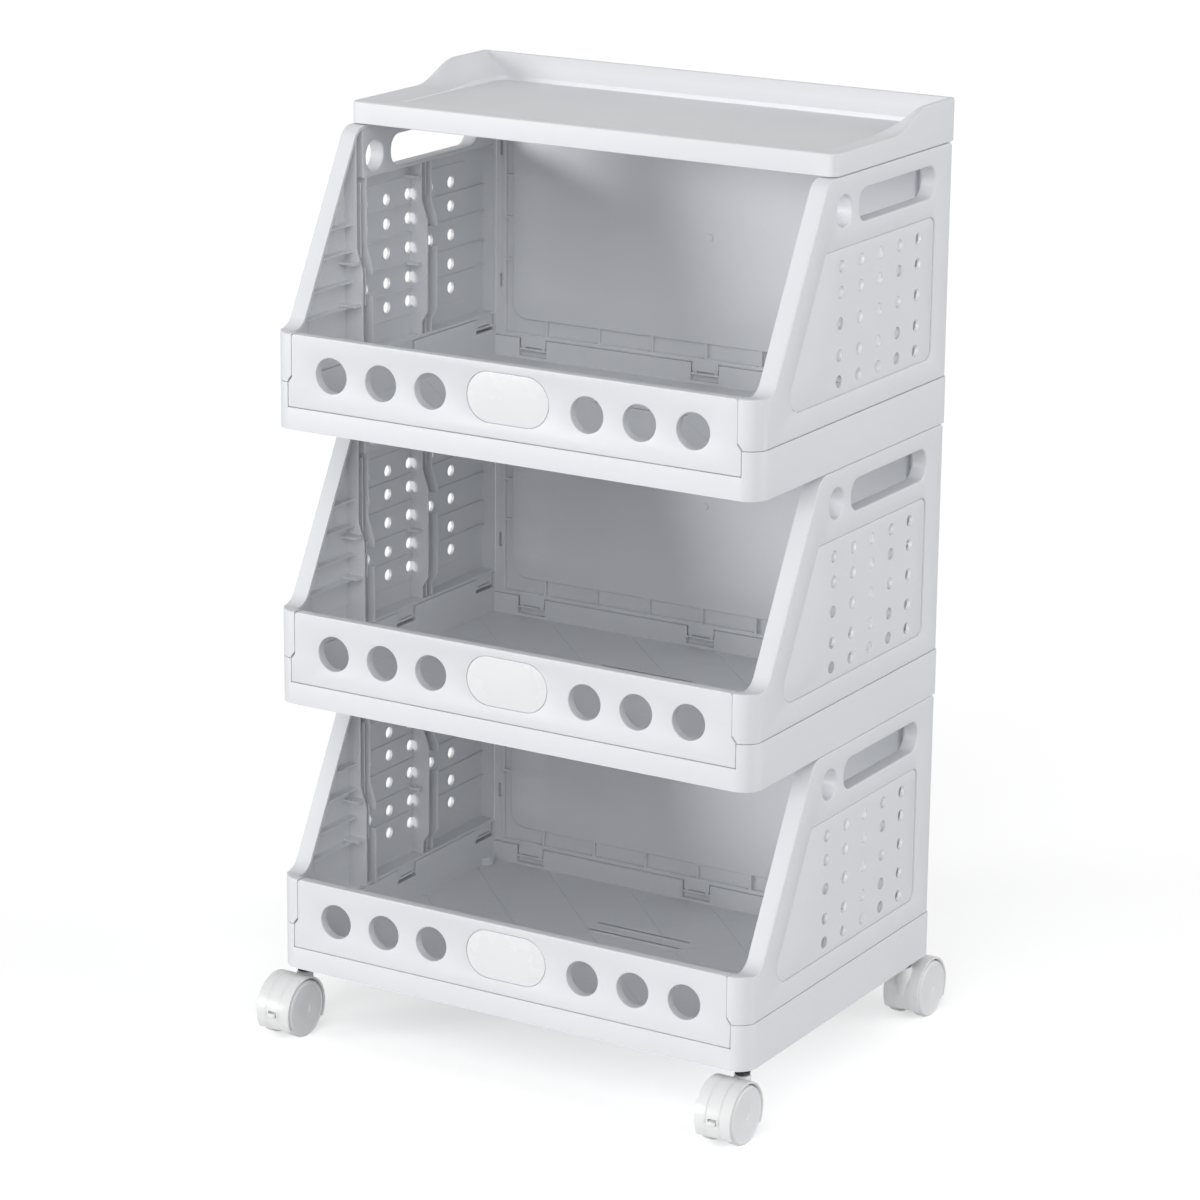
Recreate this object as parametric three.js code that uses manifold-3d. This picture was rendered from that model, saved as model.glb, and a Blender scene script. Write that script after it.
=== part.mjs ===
// Rolling storage cart: three stacked crates with folding walls, a top tray and four twin-wheel casters.
// Millimetres, +Z up, +X to the right, -Y to the front. The origin is on the floor, in the middle of the
// footprint. A crate is drawn with z = 0 at the underside of its base, and a caster with z = 0 where it
// meets the lowest base.
import * as THREE from "three";
import { mergeVertices } from "three/addons/utils/BufferGeometryUtils.js";
import { ConvexGeometry } from "three/addons/geometries/ConvexGeometry.js";
import Module from "manifold-3d";

const wasm = await Module();
wasm.setup();

// Overall sizes
const cartWidth = 425;
const cartDepth = 300;
const tierPitch = 220; // height of one crate, base to base
const tierNames = ["lower", "middle", "upper"];
const touchGap = 0.3; // between pieces that touch
const stackGap = 0.8; // between a crate's panels and what stands on them
const beyond = 1; // how far a cutting shape runs past the face it cuts

// Base frame
const rimTop = 37; // top of the base's band at the sides
const baseWall = 2.5;
const rimInnerWall = 4.6; // thick enough to hold the side panels' hinge bars
const floorThickness = 3;
const frontCornerRadius = 16;
const rearCornerRadius = 4.5;
const frontSill = 17.5; // top of the base's front wall, under the front panel
const rearRimTop = 19.7;
const rearRimDepth = 5.4; // shallow enough for the back panel's foot to turn past it
const drainSlot = { length: 86, width: 3.5, fromRear: 107, spacing: 16 };
const rimChannel = { front: 8.5, rear: 10 }; // ends of the hollow under each side rim
const postSlopeGap = 1.2; // over the front panel's sloping shoulder

// Side panels
const panelThickness = 14;
const panelSkin = 2.2;
const panelWall = 2.4;
const slantRun = 0.535; // how far the sloping edge goes back for each millimetre up
const slantStart = -20; // where that edge would meet the base's underside, from the front plane
const slantRadius = 16;
const sideEndGap = { front: 0.6, rear: 1.4 }; // from the side panels to the front and back panels
const handleSlot = { front: 145, fromRear: 31, height: 25, centreHeight: 193.5, endRadius: 11.5 };
const roundHole = { fromFront: 122, height: 193.5, radius: 12 };
const smallHole = { radius: 4.4, firstFromFront: 121, spacing: 30.8, columns: 5 };
const smallHoleHeights = [66.5, 86, 110, 133.5, 153];
const inset = { bottom: 55.5, top: 167, fromRear: 30, behindEdge: 25.5, depth: 0.8 };
const insetRadii = { lowFront: 14, rear: 8, highFront: 6 };
const gripBlockBottom = 170; // underside of the deep block round the handle slot
const gripHollowFront = 106;
const gripSetBack = 1; // the block's inner face lies behind the panel's rim

// Ribs inside the side panels: pairs of walls
const ribPair = { spacing: 14, thickness: 2 };
const ribPairFronts = [91, 184.5];
const ribReach = { low: 6, high: 11.5 }; // measured in from the inside of the skin
const ribRoot = 0.5; // how far the ribs and the grip block run into the skin
const ribBottom = 39.7;
const frontRibTaper = { start: 107, end: 124 }; // heights between which the front pair narrows
const frontRibNotch = { bottom: 85.7, top: 101.8 };
const rearRibFoot = { start: 50, end: 58 };
const rearRibTaper = { start: 132, end: 147.6 };
const rearRibNotch = { bottom: 109.5, top: 125.8 };

// Front panel
const flapThickness = 8;
const flapTop = 75;
const flapWall = 2.4;
const flapOverlap = 4; // how far the front posts reach in over the panel's shoulders
const shoulderRise = 4.4;
const flapPivot = { fromFront: 5.5, height: 20, radius: 2.2 };
const flapPinLength = 2.4;
const frontHole = { radius: 14, height: 46.5, offsets: [68.5, 113, 158], collar: 2 };
const label = { length: 71, height: 38.5, centreHeight: 49, thickness: 1, recess: 0.2 };
const labelPad = { margin: 2, thickness: 1.6 }; // behind the skin, where the label's recess thins it

// Hinges of the side and back panels
const hingeBar = { radius: 1.4, play: 0.3, overhang: 3.4, bore: 3.8 };
const tabWidth = 12;
const sideHinge = { inFromFace: 2, below: 9.2, windowBottom: 24.5, windowLength: 27 };
const sideWindowCentres = [162, cartDepth - 20.5]; // from the front plane
const backHinge = { fromRear: 3.4, height: 10.5, windowBottom: 5, windowLength: 26 };
const backWindowCentres = [-162, 0, 162];

// Back panel
const backThickness = 4.4;
const backPlate = 2.2;
const backSideGap = 0.5;
const backBorder = 8; // raised column along each side
const backTrough = 9.5;
const backFieldBottom = 37;
const backFieldRadius = 12;
const latchSlot = { width: 2.4, height: 12, heights: [65.6, 175], outward: 1 };
const rearRecess = { side: 8, bottom: 10, top: 12, radius: 10 }; // inside the field, on the rear face
const footStrip = 1.6; // full thickness left along the bottom edge

// Top tray
const tray = { front: 107, lowRim: 17, highRim: 33, riseStart: 200, riseEnd: 250, floor: 13 };
const trayWall = 2.6;
const trayPlate = 3.2;
const trayRim = 3.2;
const trayBasin = { sideMargin: 25, frontMargin: 30, rearMargin: 15, radius: 10 };
const trayCornerRadius = 7;
const trayRise = { radius: 24, lean: 8 };

// Casters
const wheelRadius = 23;
const wheelWidth = 10;
const wheelInner = 6; // inner face of each wheel, from the caster's middle
const axleRadius = 2.5;
const axleBelowBase = 31;
const trail = 20; // from the swivel axis to the axle
const hood = { radius: 26, inner: 24.3, halfWidth: 12, web: 5.6, floorGap: 10, bossRadius: 6.6, top: 4.5 };
const wheelEdge = 1.6; // bevel of the tread
const wheelBoreEnd = 1.8; // closed outer end of each wheel's bore
const stem = { radius: 4, collarRadius: 6, collarBottom: 4.2, collarTop: 1.9, top: 5.7, bottom: 25 };
const sleeve = { radius: 5.7, flangeRadius: 8, flangeBottom: 1.6, top: 6.4 };
const socketBoss = { radius: 8, top: 9 }; // low enough for the folded back panel to lie over it
const casterInset = { side: 12.5, front: 17 };
const lever = { halfWidth: 3.2, thickness: 3.4, out: 1.6, droop: 0.6, pinRadius: 1.2, pivotIn: 6, pinEnd: 5 };
const leverSlot = { below: 7, above: 6 }; // from the axle's height

// Values that follow from the ones above
const halfWidth = cartWidth / 2;
const frontPlane = -cartDepth / 2;
const rearPlane = cartDepth / 2;
const innerHalf = halfWidth - panelThickness;
const panelTop = tierPitch - stackGap;
const panelBottom = rimTop + touchGap;
const skinInner = halfWidth - panelSkin;
const baseHeight = axleBelowBase + wheelRadius; // underside of the lowest base above the floor
const sidePivot = { x: innerHalf + sideHinge.inFromFace, z: rimTop - sideHinge.below };
const backPivot = { y: rearPlane - backHinge.fromRear, z: backHinge.height };
const fromFront = (distance) => frontPlane + distance;
const panelFront = flapThickness + sideEndGap.front;
const panelRear = cartDepth - backThickness - sideEndGap.rear;
const postDepth = panelFront - touchGap;

// Makes a solid that can be joined and cut from a closed geometry.
function toSolid(geometry) {
  const bare = new THREE.BufferGeometry();
  const plain = geometry.index ? geometry.toNonIndexed() : geometry;
  bare.setAttribute("position", plain.getAttribute("position"));
  const merged = mergeVertices(bare, 1e-4);
  const vertProperties = merged.getAttribute("position").array;
  const triVerts = new Uint32Array(merged.index.array);
  return new wasm.Manifold(new wasm.Mesh({ numProp: 3, vertProperties, triVerts }));
}

// Turns a solid back into a geometry with flat facets.
function toGeometry(solid) {
  const mesh = solid.getMesh();
  const indexed = new THREE.BufferGeometry();
  indexed.setAttribute("position", new THREE.Float32BufferAttribute(mesh.vertProperties, 3));
  indexed.setIndex(Array.from(mesh.triVerts));
  const flat = indexed.toNonIndexed();
  flat.computeVertexNormals();
  return flat;
}

const join = (solids) => solids.reduce((whole, piece) => whole.add(piece));
const cut = (solid, tools) => tools.reduce((left, tool) => left.subtract(tool), solid);

// Corners [across, up, radius, steps], each rounded by its own radius in a few straight steps.
function roundCorners(corners, usualSteps = 4) {
  const points = [];
  corners.forEach(([across, up, radius = 0, steps = usualSteps], index) => {
    const corner = new THREE.Vector2(across, up);
    if (!radius) {
      points.push(corner);
      return;
    }
    const [lastAcross, lastUp] = corners.at(index - 1);
    const [nextAcross, nextUp] = corners[(index + 1) % corners.length];
    const back = new THREE.Vector2(lastAcross, lastUp).sub(corner).normalize();
    const ahead = new THREE.Vector2(nextAcross, nextUp).sub(corner).normalize();
    const half = back.angleTo(ahead) / 2;
    const middle = back.clone().add(ahead).normalize();
    const centre = middle.multiplyScalar(radius / Math.sin(half)).add(corner);
    const start = back.clone().multiplyScalar(radius / Math.tan(half)).add(corner);
    const turn = (Math.PI - 2 * half) * Math.sign(ahead.cross(back));
    for (let step = 0; step <= steps; step += 1) {
      points.push(start.clone().rotateAround(centre, (turn * step) / steps));
    }
  });
  return points;
}

function rectangle(left, right, bottom, top, radius = 0, steps = 3) {
  const corners = [[left, bottom], [right, bottom], [right, top], [left, top]];
  return roundCorners(corners.map(([across, up]) => [across, up, radius]), steps);
}

function circle(across, up, radius, sides) {
  const turns = Array.from({ length: sides }, (_, index) => ((index + 0.5) * 2 * Math.PI) / sides);
  return turns.map((turn) => new THREE.Vector2(across + radius * Math.cos(turn), up + radius * Math.sin(turn)));
}

function extrude(points, depth) {
  return new THREE.ExtrudeGeometry(new THREE.Shape(points), { depth, bevelEnabled: false, curveSegments: 1 });
}

// Prisms of an outline along each axis. Along X the outline is (y, z), along Y (x, z) and along Z (x, y).
function alongX(points, x0, x1) {
  const [low, high] = x0 < x1 ? [x0, x1] : [x1, x0];
  const turned = new THREE.Matrix4().set(0, 0, 1, low, 1, 0, 0, 0, 0, 1, 0, 0, 0, 0, 0, 1);
  return toSolid(extrude(points, high - low).applyMatrix4(turned));
}

function alongY(points, y0, y1) {
  return toSolid(extrude(points, y1 - y0).rotateX(Math.PI / 2).translate(0, y1, 0));
}

function alongZ(points, z0, z1) {
  return toSolid(extrude(points, z1 - z0).translate(0, 0, z0));
}

function block(x0, x1, y0, y1, z0, z1) {
  const [left, right] = x0 < x1 ? [x0, x1] : [x1, x0];
  const box = new THREE.BoxGeometry(right - left, y1 - y0, z1 - z0);
  return toSolid(box.translate((left + right) / 2, (y0 + y1) / 2, (z0 + z1) / 2));
}

// The cart's plan with its rounded corners, drawn in by a margin.
function planOutline(margin, front = 0, frontRadius = frontCornerRadius) {
  const side = halfWidth - margin;
  const nearY = fromFront(front) + margin;
  const farY = rearPlane - margin;
  const nearRadius = Math.max(frontRadius - margin, 1);
  const farRadius = Math.max(rearCornerRadius - margin, 1);
  return roundCorners([
    [-side, nearY, nearRadius, 4],
    [side, nearY, nearRadius, 4],
    [side, farY, farRadius, 2],
    [-side, farY, farRadius, 2],
  ]);
}

// Base frame of one crate

function drainSlots() {
  return [0, drainSlot.spacing].map((step) => {
    const middle = rearPlane - drainSlot.fromRear + step;
    const half = drainSlot.width / 2;
    const end = drainSlot.length / 2;
    const outline = rectangle(-end, end, middle - half, middle + half, 0.94 * half, 1);
    return alongZ(outline, -beyond, floorThickness + beyond);
  });
}

// A window in a rim: what is cut away, with the bore that the hinge bar turns in.
function sideWindow(side, centreFromFront) {
  const middle = fromFront(centreFromFront);
  const half = sideHinge.windowLength / 2;
  const opening = block(side * (innerHalf - beyond), side * (halfWidth - baseWall), middle - half, middle + half,
    sideHinge.windowBottom, rimTop + beyond);
  const bore = alongY(circle(side * sidePivot.x, sidePivot.z, hingeBar.radius + hingeBar.play, 6),
    middle - half - hingeBar.bore, middle + half + hingeBar.bore);
  return opening.add(bore);
}

function backWindow(centre) {
  const half = backHinge.windowLength / 2;
  const outer = backPivot.y + hingeBar.radius + touchGap;
  const inner = rearPlane - rearRimDepth;
  const opening = block(centre - half, centre + half, inner - beyond, outer,
    backHinge.windowBottom, rearRimTop + beyond);
  const bore = alongX(circle(backPivot.y, backPivot.z, hingeBar.radius + hingeBar.play, 6),
    centre - half - hingeBar.bore, centre + half + hingeBar.bore);
  return opening.add(bore);
}

// A short post beside the front panel, above the base's band, with its underside sloping over the shoulder.
function frontPost(side) {
  const inner = innerHalf - flapOverlap + touchGap;
  const outer = halfWidth + beyond;
  const outline = roundCorners([
    [side * outer, rimTop - beyond],
    [side * innerHalf, rimTop - beyond],
    [side * innerHalf, rimTop + postSlopeGap],
    [side * inner, rimTop + shoulderRise + postSlopeGap],
    [side * inner, flapTop],
    [side * outer, flapTop],
  ]);
  const slab = alongY(outline, frontPlane, fromFront(postDepth));
  return slab.intersect(alongZ(planOutline(0), 0, flapTop + beyond));
}

function baseFrame(withCasterSockets) {
  const band = cut(alongZ(planOutline(0), 0, rimTop), [
    alongZ(planOutline(baseWall), floorThickness, rimTop + beyond),
  ]);
  const front = fromFront(baseWall);
  const rear = rearPlane - rearRimDepth;
  const outer = halfWidth - baseWall;
  const overlap = baseWall / 2;
  const [nearEnd, farEnd] = [front - overlap, rearPlane - overlap];
  const additions = [block(-innerHalf - overlap, innerHalf + overlap, rear, farEnd, 0, rearRimTop)];
  const removals = backWindowCentres.map(backWindow);
  for (const side of [-1, 1]) {
    additions.push(block(side * innerHalf, side * (innerHalf + rimInnerWall), nearEnd, farEnd, 0, rimTop));
    additions.push(block(side * innerHalf, side * (outer + overlap), nearEnd, farEnd,
      rimTop - baseWall, rimTop));
    additions.push(frontPost(side));
    removals.push(...sideWindowCentres.map((centre) => sideWindow(side, centre)));
    removals.push(block(side * (innerHalf + rimInnerWall), side * outer, fromFront(rimChannel.front),
      rearPlane - rimChannel.rear, -beyond, floorThickness));
    const pinHole = circle(fromFront(flapPivot.fromFront), flapPivot.height, flapPivot.radius + touchGap, 8);
    removals.push(alongX(pinHole, side * (innerHalf - beyond), side * (innerHalf + flapPinLength + touchGap)));
  }
  const behindCorners = fromFront(frontCornerRadius);
  removals.push(block(-innerHalf, innerHalf, frontPlane - beyond, behindCorners, frontSill, flapTop));
  removals.push(block(-innerHalf, innerHalf, front, behindCorners, floorThickness, flapTop));
  const openBack = innerHalf - touchGap / 2;
  removals.push(block(-openBack, openBack, rear - beyond, rearPlane + beyond, rearRimTop, rimTop + beyond));
  removals.push(...drainSlots());
  let frame = cut(join([band, ...additions]), removals);
  if (!withCasterSockets) {
    return frame;
  }
  for (const { x, y } of casterPlaces()) {
    frame = frame.add(alongZ(circle(x, y, socketBoss.radius, 12), 0, socketBoss.top));
    frame = frame.subtract(alongZ(circle(x, y, sleeve.radius + touchGap, 12), -beyond, sleeve.top + touchGap));
  }
  return frame;
}

// Side panels

// The panel's outline from the side, drawn in by a margin, as (y, z).
function sideOutline(margin, bottom = panelBottom, top = panelTop) {
  const edgeShift = margin * Math.hypot(1, slantRun);
  const edgeAt = (height) => fromFront(slantStart + slantRun * height) + edgeShift;
  return roundCorners([
    [fromFront(panelFront) + margin, bottom + margin],
    [fromFront(panelRear) - margin, bottom + margin],
    [fromFront(panelRear) - margin, top - margin],
    [edgeAt(top - margin), top - margin, slantRadius - margin],
    [edgeAt(flapTop - margin), flapTop - margin, slantRadius + margin],
    [fromFront(panelFront) + margin, flapTop - margin],
  ], 4);
}

function insetOutline() {
  const edgeAt = (height) => fromFront(slantStart + inset.behindEdge + slantRun * height);
  const rear = rearPlane - inset.fromRear;
  return roundCorners([
    [edgeAt(inset.bottom), inset.bottom, insetRadii.lowFront],
    [rear, inset.bottom, insetRadii.rear],
    [rear, inset.top, insetRadii.rear],
    [edgeAt(inset.top), inset.top, insetRadii.highFront],
  ], 3);
}

function handleSlotBounds(margin, radius = 0) {
  const half = handleSlot.height / 2 + margin;
  return rectangle(fromFront(handleSlot.front) - margin, rearPlane - handleSlot.fromRear + margin,
    handleSlot.centreHeight - half, handleSlot.centreHeight + half, radius, 3);
}

function roundHoleBounds(margin) {
  const reach = roundHole.radius + margin;
  const middle = fromFront(roundHole.fromFront);
  return rectangle(middle - reach, middle + reach, roundHole.height - reach, roundHole.height + reach);
}

// One rib wall: a height profile across the panel, low near the ends and high in the middle.
function ribWall(side, front, thickness, profile) {
  const outline = profile.map(([reach, height]) => new THREE.Vector2(side * (skinInner - reach), height));
  const rooted = skinInner + ribRoot;
  outline.push(new THREE.Vector2(side * rooted, profile.at(-1)[1]));
  outline.push(new THREE.Vector2(side * rooted, profile[0][1]));
  return alongY(outline, fromFront(front), fromFront(front + thickness));
}

function ribWalls(side) {
  const { low, high } = ribReach;
  const top = gripBlockBottom + ribRoot;
  const [frontPair, rearPair] = ribPairFronts;
  const frontTop = [[high, frontRibTaper.start], [low, frontRibTaper.end], [low, top]];
  const rearFoot = [[low, ribBottom], [low, rearRibFoot.start], [high, rearRibFoot.end]];
  const rearTop = [[high, rearRibTaper.start], [low, rearRibTaper.end], [low, top]];
  const walls = [
    { front: frontPair, profile: [[high, ribBottom], ...frontTop] },
    { front: frontPair + ribPair.spacing, profile: [[high, ribBottom], [high, frontRibNotch.bottom]] },
    { front: frontPair + ribPair.spacing, profile: [[high, frontRibNotch.top], ...frontTop] },
    { front: rearPair, profile: [...rearFoot, ...rearTop] },
    { front: rearPair + ribPair.spacing, profile: [...rearFoot, [high, rearRibNotch.bottom]] },
    { front: rearPair + ribPair.spacing, profile: [[high, rearRibNotch.top], ...rearTop] },
  ];
  return walls.map(({ front, profile }) => ribWall(side, front, ribPair.thickness, profile));
}

// The deep block round the handle slot and the round hole, hollow and open at its top.
function gripBlock(side) {
  const inner = innerHalf + gripSetBack;
  const outer = skinInner + ribRoot;
  const body = alongX(sideOutline(panelWall / 2), side * inner, side * outer);
  const room = block(side * innerHalf, side * halfWidth, frontPlane, rearPlane, gripBlockBottom, tierPitch);
  const hollow = block(side * (inner + panelWall), side * skinInner, fromFront(gripHollowFront),
    fromFront(panelRear - panelWall), gripBlockBottom + panelWall, tierPitch);
  const collars = [handleSlotBounds(panelWall), roundHoleBounds(panelWall)].map((outline) =>
    alongX(outline, side * inner, side * outer));
  return { body: body.intersect(room), hollow, collars: join(collars) };
}

function sideHingeTabs(side) {
  return sideWindowCentres.flatMap((centreFromFront) => {
    const middle = fromFront(centreFromFront);
    const half = sideHinge.windowLength / 2 + hingeBar.overhang;
    const section = circle(side * sidePivot.x, sidePivot.z, hingeBar.radius, 6);
    const bar = alongY(section, middle - half, middle + half);
    const tab = block(side * (sidePivot.x - hingeBar.radius), side * (sidePivot.x + hingeBar.radius),
      middle - tabWidth / 2, middle + tabWidth / 2, sidePivot.z, panelBottom + panelWall / 2);
    return [bar, tab];
  });
}

function sidePanel(side) {
  const shell = alongX(sideOutline(0), side * innerHalf, side * halfWidth)
    .subtract(alongX(sideOutline(panelWall), side * (innerHalf - beyond), side * skinInner));
  const holes = [];
  for (let column = 0; column < smallHole.columns; column += 1) {
    const across = fromFront(smallHole.firstFromFront + column * smallHole.spacing);
    for (const height of smallHoleHeights) {
      const outline = circle(across, height, smallHole.radius, 6);
      holes.push(alongX(outline, side * (skinInner - beyond), side * (halfWidth + beyond)));
    }
  }
  const ribs = join(ribWalls(side));
  let panel = shell.add(ribs).intersect(alongX(sideOutline(0), side * innerHalf, side * halfWidth));
  const grip = gripBlock(side);
  panel = panel.add(grip.body).subtract(grip.hollow).add(grip.collars);
  const [inside, outside] = [side * (innerHalf - beyond), side * (halfWidth + beyond)];
  const roundOutline = circle(fromFront(roundHole.fromFront), roundHole.height, roundHole.radius, 14);
  panel = cut(panel, [
    alongX(insetOutline(), side * (halfWidth - inset.depth), outside),
    alongX(handleSlotBounds(0, handleSlot.endRadius), inside, outside),
    alongX(roundOutline, inside, outside),
  ]);
  panel = panel.subtract(join(holes).subtract(ribs));
  panel = panel.intersect(alongZ(planOutline(0), 0, tierPitch));
  return panel.add(join(sideHingeTabs(side)));
}

// Front panel and its label plate

function flapOutline() {
  const low = innerHalf - touchGap;
  const high = innerHalf - flapOverlap;
  const bottom = frontSill + touchGap;
  return roundCorners([
    [-low, bottom, 1],
    [low, bottom, 1],
    [low, rimTop - touchGap / 3],
    [high, rimTop + shoulderRise],
    [high, flapTop, 3],
    [-high, flapTop, 3],
    [-high, rimTop + shoulderRise],
    [-low, rimTop - touchGap / 3],
  ], 3);
}

function labelOutline(margin) {
  const long = label.length / 2 + margin;
  const tall = label.height / 2 + margin;
  return rectangle(-long, long, label.centreHeight - tall, label.centreHeight + tall, tall - 0.05, 4);
}

function frontPanel() {
  const rear = fromFront(flapThickness);
  const skin = fromFront(flapWall);
  const half = innerHalf - flapOverlap - flapWall;
  const pocket = rectangle(-half, half, frontSill + touchGap + flapWall, flapTop - flapWall, 1.5, 1);
  let panel = alongY(flapOutline(), frontPlane, rear).subtract(alongY(pocket, skin, rear + beyond));
  const collars = [];
  const holes = [];
  for (const offset of frontHole.offsets) {
    for (const side of [-1, 1]) {
      const collarRadius = (frontHole.radius + frontHole.collar) / Math.cos(Math.PI / 8);
      collars.push(alongY(circle(side * offset, frontHole.height, collarRadius, 8), skin - flapWall / 4, rear));
      const outline = circle(side * offset, frontHole.height, frontHole.radius, 14);
      holes.push(alongY(outline, frontPlane - beyond, rear + beyond));
    }
  }
  collars.push(alongY(labelOutline(labelPad.margin), skin - flapWall / 4, skin + labelPad.thickness));
  panel = cut(join([panel, ...collars]), holes);
  const recess = label.recess + label.thickness + touchGap;
  panel = panel.subtract(alongY(labelOutline(touchGap), frontPlane - beyond, frontPlane + recess));
  const pins = [-1, 1].map((side) => {
    const outline = circle(fromFront(flapPivot.fromFront), flapPivot.height, flapPivot.radius, 8);
    return alongX(outline, side * (innerHalf - flapWall), side * (innerHalf + flapPinLength));
  });
  return panel.add(join(pins));
}

function labelPlate() {
  return alongY(labelOutline(0), frontPlane + label.recess, frontPlane + label.recess + label.thickness);
}

// Back panel

function backPanel() {
  const half = innerHalf - backSideGap;
  const bottom = rearRimTop + touchGap;
  const inner = fromFront(cartDepth - backThickness);
  const troughFloor = inner + backThickness - backPlate;
  const troughHalf = half - backBorder;
  const fieldHalf = troughHalf - backTrough;
  const topBorder = panelTop - backBorder;
  const plate = alongY(rectangle(-half, half, bottom, panelTop), inner, rearPlane);
  const troughOutline = rectangle(-troughHalf, troughHalf, bottom + footStrip, topBorder, 2);
  const fieldOutline = rectangle(-fieldHalf, fieldHalf, backFieldBottom, tierPitch, backFieldRadius);
  const trough = alongY(troughOutline, inner - beyond, troughFloor)
    .subtract(alongY(fieldOutline, inner - 2 * beyond, troughFloor + beyond));
  const recessHalf = fieldHalf - rearRecess.side;
  const recessOutline = rectangle(-recessHalf, recessHalf, backFieldBottom + rearRecess.bottom,
    topBorder - rearRecess.top, rearRecess.radius);
  const rearField = alongY(recessOutline, inner + backPlate, rearPlane + beyond);
  const slots = [-1, 1].flatMap((side) => latchSlot.heights.map((height) => {
    const middle = side * (half - backBorder / 2 - latchSlot.outward);
    return block(middle - latchSlot.width / 2, middle + latchSlot.width / 2, inner - beyond, rearPlane + beyond,
      height - latchSlot.height / 2, height + latchSlot.height / 2);
  }));
  const tabs = backWindowCentres.flatMap((centre) => {
    const reach = backHinge.windowLength / 2 + hingeBar.overhang;
    const bar = alongX(circle(backPivot.y, backPivot.z, hingeBar.radius, 6), centre - reach, centre + reach);
    const tab = block(centre - tabWidth / 2, centre + tabWidth / 2, backPivot.y - hingeBar.radius,
      backPivot.y + hingeBar.radius, backPivot.z, bottom + footStrip);
    return [bar, tab];
  });
  return cut(plate, [trough, rearField, ...slots]).add(join(tabs));
}

// Top tray

function trayBasinSolid() {
  const points = [];
  const levels = [
    { height: tray.highRim + beyond, side: trayRim, front: trayRim, rear: trayRim, radius: 5 },
    { height: tray.floor, side: trayBasin.sideMargin, front: trayBasin.frontMargin,
      rear: trayBasin.rearMargin, radius: trayBasin.radius },
  ];
  for (const level of levels) {
    const across = halfWidth - level.side;
    const outline = rectangle(-across, across, fromFront(tray.front + level.front),
      rearPlane - level.rear, level.radius, 4);
    points.push(...outline.map(({ x, y }) => new THREE.Vector3(x, y, level.height)));
  }
  return toSolid(new ConvexGeometry(points));
}

function topTray() {
  const riseMiddle = (tray.riseStart + tray.riseEnd) / 2;
  const [nearEnd, farEnd] = [fromFront(tray.front) - beyond, rearPlane + beyond];
  const aboveRim = roundCorners([
    [nearEnd, tray.lowRim],
    [fromFront(tray.riseStart), tray.lowRim, trayRise.radius],
    [fromFront(tray.riseEnd - trayRise.lean), tray.highRim, trayRise.radius],
    [farEnd, tray.highRim],
    [farEnd, 2 * tray.highRim],
    [nearEnd, 2 * tray.highRim],
  ], 5);
  const body = alongZ(planOutline(0, tray.front, trayCornerRadius), 0, tray.highRim);
  const under = alongZ(planOutline(trayWall, tray.front, trayCornerRadius), -beyond, tray.floor - trayPlate);
  return cut(body, [alongX(aboveRim, -halfWidth - beyond, halfWidth + beyond), trayBasinSolid(), under]);
}

// Casters: drawn with the swivel axis at x = y = 0 and the wheels trailing towards -Y

function casterPlaces() {
  const across = halfWidth - casterInset.side;
  const along = cartDepth / 2 - casterInset.front;
  return [
    { name: "front_left", x: -across, y: -along, facesRear: false },
    { name: "front_right", x: across, y: -along, facesRear: false },
    { name: "rear_left", x: -across, y: along, facesRear: true },
    { name: "rear_right", x: across, y: along, facesRear: true },
  ];
}

function casterHood() {
  const wheelOutline = (radius, sides) => circle(-trail, -axleBelowBase, radius, sides);
  const dome = alongX(wheelOutline(hood.radius, 24), -hood.halfWidth, hood.halfWidth);
  const boss = alongZ(circle(0, 0, hood.bossRadius, 14), -axleBelowBase, -hood.top);
  const across = hood.halfWidth + beyond;
  const pockets = [-1, 1].map((side) =>
    alongX(wheelOutline(hood.inner, 24), side * hood.web, side * across));
  const lowCut = -axleBelowBase - wheelRadius + hood.floorGap;
  const reach = trail + hood.radius + beyond;
  const below = block(-across, across, -reach, reach, -axleBelowBase - reach, lowCut);
  const stemBore = alongZ(circle(0, 0, stem.radius + touchGap, 10), -stem.bottom - touchGap, 0);
  const axleBore = alongX(wheelOutline(axleRadius + touchGap, 8), -hood.halfWidth, hood.halfWidth);
  const front = -trail - hood.radius;
  const slotHalf = lever.halfWidth + touchGap;
  const slot = block(-slotHalf, slotHalf, front - beyond, front + lever.pivotIn + lever.thickness,
    -axleBelowBase - leverSlot.below, -axleBelowBase + leverSlot.above);
  const { y, z } = leverPivot();
  const pinHalf = lever.pinEnd + touchGap;
  const pinBore = alongX(circle(y, z, lever.pinRadius + touchGap, 6), -pinHalf, pinHalf);
  return cut(dome.add(boss), [...pockets, below, stemBore, axleBore, slot, pinBore]);
}

const leverPivot = () => ({ y: -trail - hood.radius + lever.pivotIn, z: -axleBelowBase });

function brakeLever() {
  const { y, z } = leverPivot();
  const half = lever.thickness / 2;
  const tip = y - lever.pivotIn - lever.out;
  const outline = roundCorners([
    [tip, z - half - lever.droop, 1.5],
    [y + half, z - half, 1.6],
    [y + half, z + half, 1.6],
    [tip, z + half - lever.droop, 1.5],
  ], 3);
  const arm = alongX(outline, -lever.halfWidth, lever.halfWidth);
  return arm.add(alongX(circle(y, z, lever.pinRadius, 6), -lever.pinEnd, lever.pinEnd));
}

// A round solid from a profile of [radius, height], turned about Z.
function lathed(profile, sides) {
  const points = profile.map(([radius, height]) => new THREE.Vector2(radius, height));
  return toSolid(new THREE.LatheGeometry(points, sides).rotateX(Math.PI / 2));
}

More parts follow.
